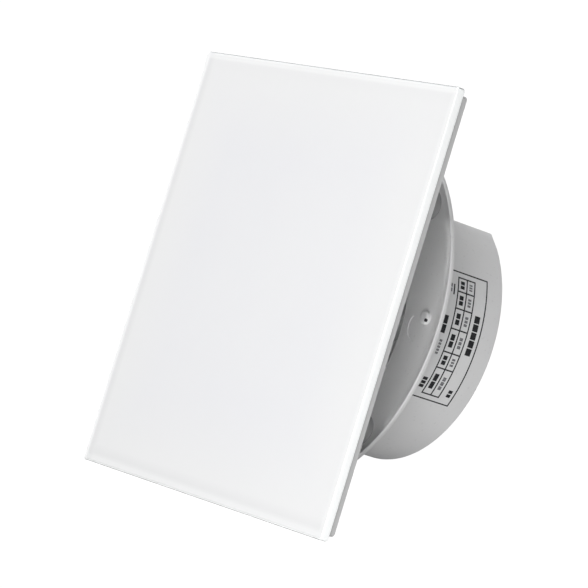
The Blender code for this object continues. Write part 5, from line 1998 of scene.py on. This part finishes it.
@dataclass(frozen=True)
class Studio:
    """The camera, the lamps, the pale floor and the white surround."""

    aim: Place = (-8.86 * MM, -12.82 * MM, -1.42 * MM)
    azimuth: float = 55.567
    elevation: float = -2.335
    roll: float = -17.03
    distance: float = 1.2486
    lens: float = 211.39
    sensor: float = 36.0
    light_above: float = 0.15
    light_below: float = 0.06
    horizon: Point = (-0.2, 0.4)
    backdrop: float = 1.05
    sky: Colour = (0.985, 0.99, 1.0)
    floor_drop: float = 1.0
    floor_side: float = 14.0
    floor_half_depth: float = 0.01

    def camera(self) -> None:
        """Sets up the long-lens camera, turned about its own line of sight."""
        turn, rise = math.radians(self.azimuth), math.radians(self.elevation)
        out = Vector((math.cos(rise) * math.sin(turn), -math.cos(rise) * math.cos(turn), math.sin(rise)))
        level = (-out).cross(Vector((0, 0, 1))).normalized()
        upright = level.cross(-out)
        lean = math.radians(self.roll)
        up = upright * math.cos(lean) + level * math.sin(lean)
        right = (-out).cross(up)
        made = bpy.data.cameras.new("camera")
        made.lens = self.lens
        made.sensor_width = self.sensor
        made.clip_start = 0.01
        eye = bpy.data.objects.new("camera", made)
        place = Matrix((right, up, out)).transposed().to_4x4()
        place.translation = Vector(self.aim) + out * self.distance
        eye.matrix_world = place
        bpy.context.scene.collection.objects.link(eye)
        bpy.context.scene.camera = eye

    def surround(self) -> None:
        """A white world for the lens, which lights the object softly from above and faintly from below."""
        world = bpy.data.worlds.new("surround")
        world.use_nodes = True
        bpy.context.scene.world = world
        tree = world.node_tree
        ways = tree.nodes.new("ShaderNodeTexCoord")
        axes = tree.nodes.new("ShaderNodeSeparateXYZ")
        tree.links.new(ways.outputs["Generated"], axes.inputs[0])
        rise = tree.nodes.new("ShaderNodeMapRange")
        tree.links.new(axes.outputs["Z"], rise.inputs["Value"])
        rise.inputs["From Min"].default_value, rise.inputs["From Max"].default_value = self.horizon
        rise.inputs["To Min"].default_value = self.light_below
        rise.inputs["To Max"].default_value = self.light_above
        light = tree.nodes["Background"]
        light.inputs["Color"].default_value = (*self.sky, 1)
        tree.links.new(rise.outputs["Result"], light.inputs["Strength"])
        seen = tree.nodes.new("ShaderNodeBackground")
        seen.inputs["Color"].default_value = (1, 1, 1, 1)
        seen.inputs["Strength"].default_value = self.backdrop
        path = tree.nodes.new("ShaderNodeLightPath")
        mix = tree.nodes.new("ShaderNodeMixShader")
        tree.links.new(path.outputs["Is Camera Ray"], mix.inputs["Fac"])
        tree.links.new(light.outputs[0], mix.inputs[1])
        tree.links.new(seen.outputs[0], mix.inputs[2])
        tree.links.new(mix.outputs[0], tree.nodes["World Output"].inputs["Surface"])

    def floor(self) -> None:
        """Lays the pale floor well below the fan; it throws no light back up at it."""
        half, depth = self.floor_side / 2, self.floor_half_depth
        shape = Shape().slab([round_box((-half, -half), (half, half), 1.0)], -depth, depth)
        shape.place(Matrix.Rotation(math.pi / 2, 4, "X"))
        floor = shape.object("studio_floor", StageFloor("studio_floor", (0.9, 0.9, 0.9)))
        floor.location.z = -self.floor_drop
        floor.visible_diffuse = False
        floor.visible_glossy = False
        floor.visible_shadow = False

    def lamps(self) -> None:
        """Hangs the softboxes."""
        fan = (0.0, 0.0, 0.0)
        gap = (0.06, -0.01, 0.0)
        for lamp in (
            Softbox("front_softbox", (-0.7, -1.5, 1.15), fan, (1.5, 1.5), 41.5),
            Softbox("front_right_card", (0.7, -0.65, -0.1), fan, (0.4, 0.4), 0.9),
            Softbox("low_front_right_card", (0.6, -0.5, -0.45), fan, (0.4, 0.4), 4.1),
            Softbox("right_card", (0.9, -0.1, -0.1), fan, (0.4, 0.4), 1.8),
            Softbox("gap_light", (-0.9, -0.09, 0.0), gap, (0.16, 0.3), 2.6),
            Softbox("high_gap_light", (-0.8, -0.09, 0.35), gap, (0.16, 0.3), 4.2),
            Softbox("top_softbox", (0.0, 0.1, 1.0), fan, (0.6, 0.6), 3.2),
            Softbox("back_softbox", (-0.8, 1.6, 0.15), fan, (1.2, 1.2), 8.0),
        ):
            lamp.build()

    def build(self) -> None:
        """Sets the whole studio up."""
        scene = bpy.context.scene
        scene.view_settings.view_transform = "Standard"
        self.camera()
        self.surround()
        self.floor()
        self.lamps()


def main() -> None:
    """Builds the studio and every sub-assembly."""
    logging.basicConfig(level=logging.INFO, format="%(name)s: %(message)s")
    for part in (
        Studio(),
        FrontPanel(),
        FanMoulding(),
        RatingPrint(),
        InletGuard(),
        Impeller(),
        Motor(),
        TerminalCompartment(),
    ):
        log.info("building %s", type(part).__name__)
        part.build()


if __name__ == "__main__":
    main()
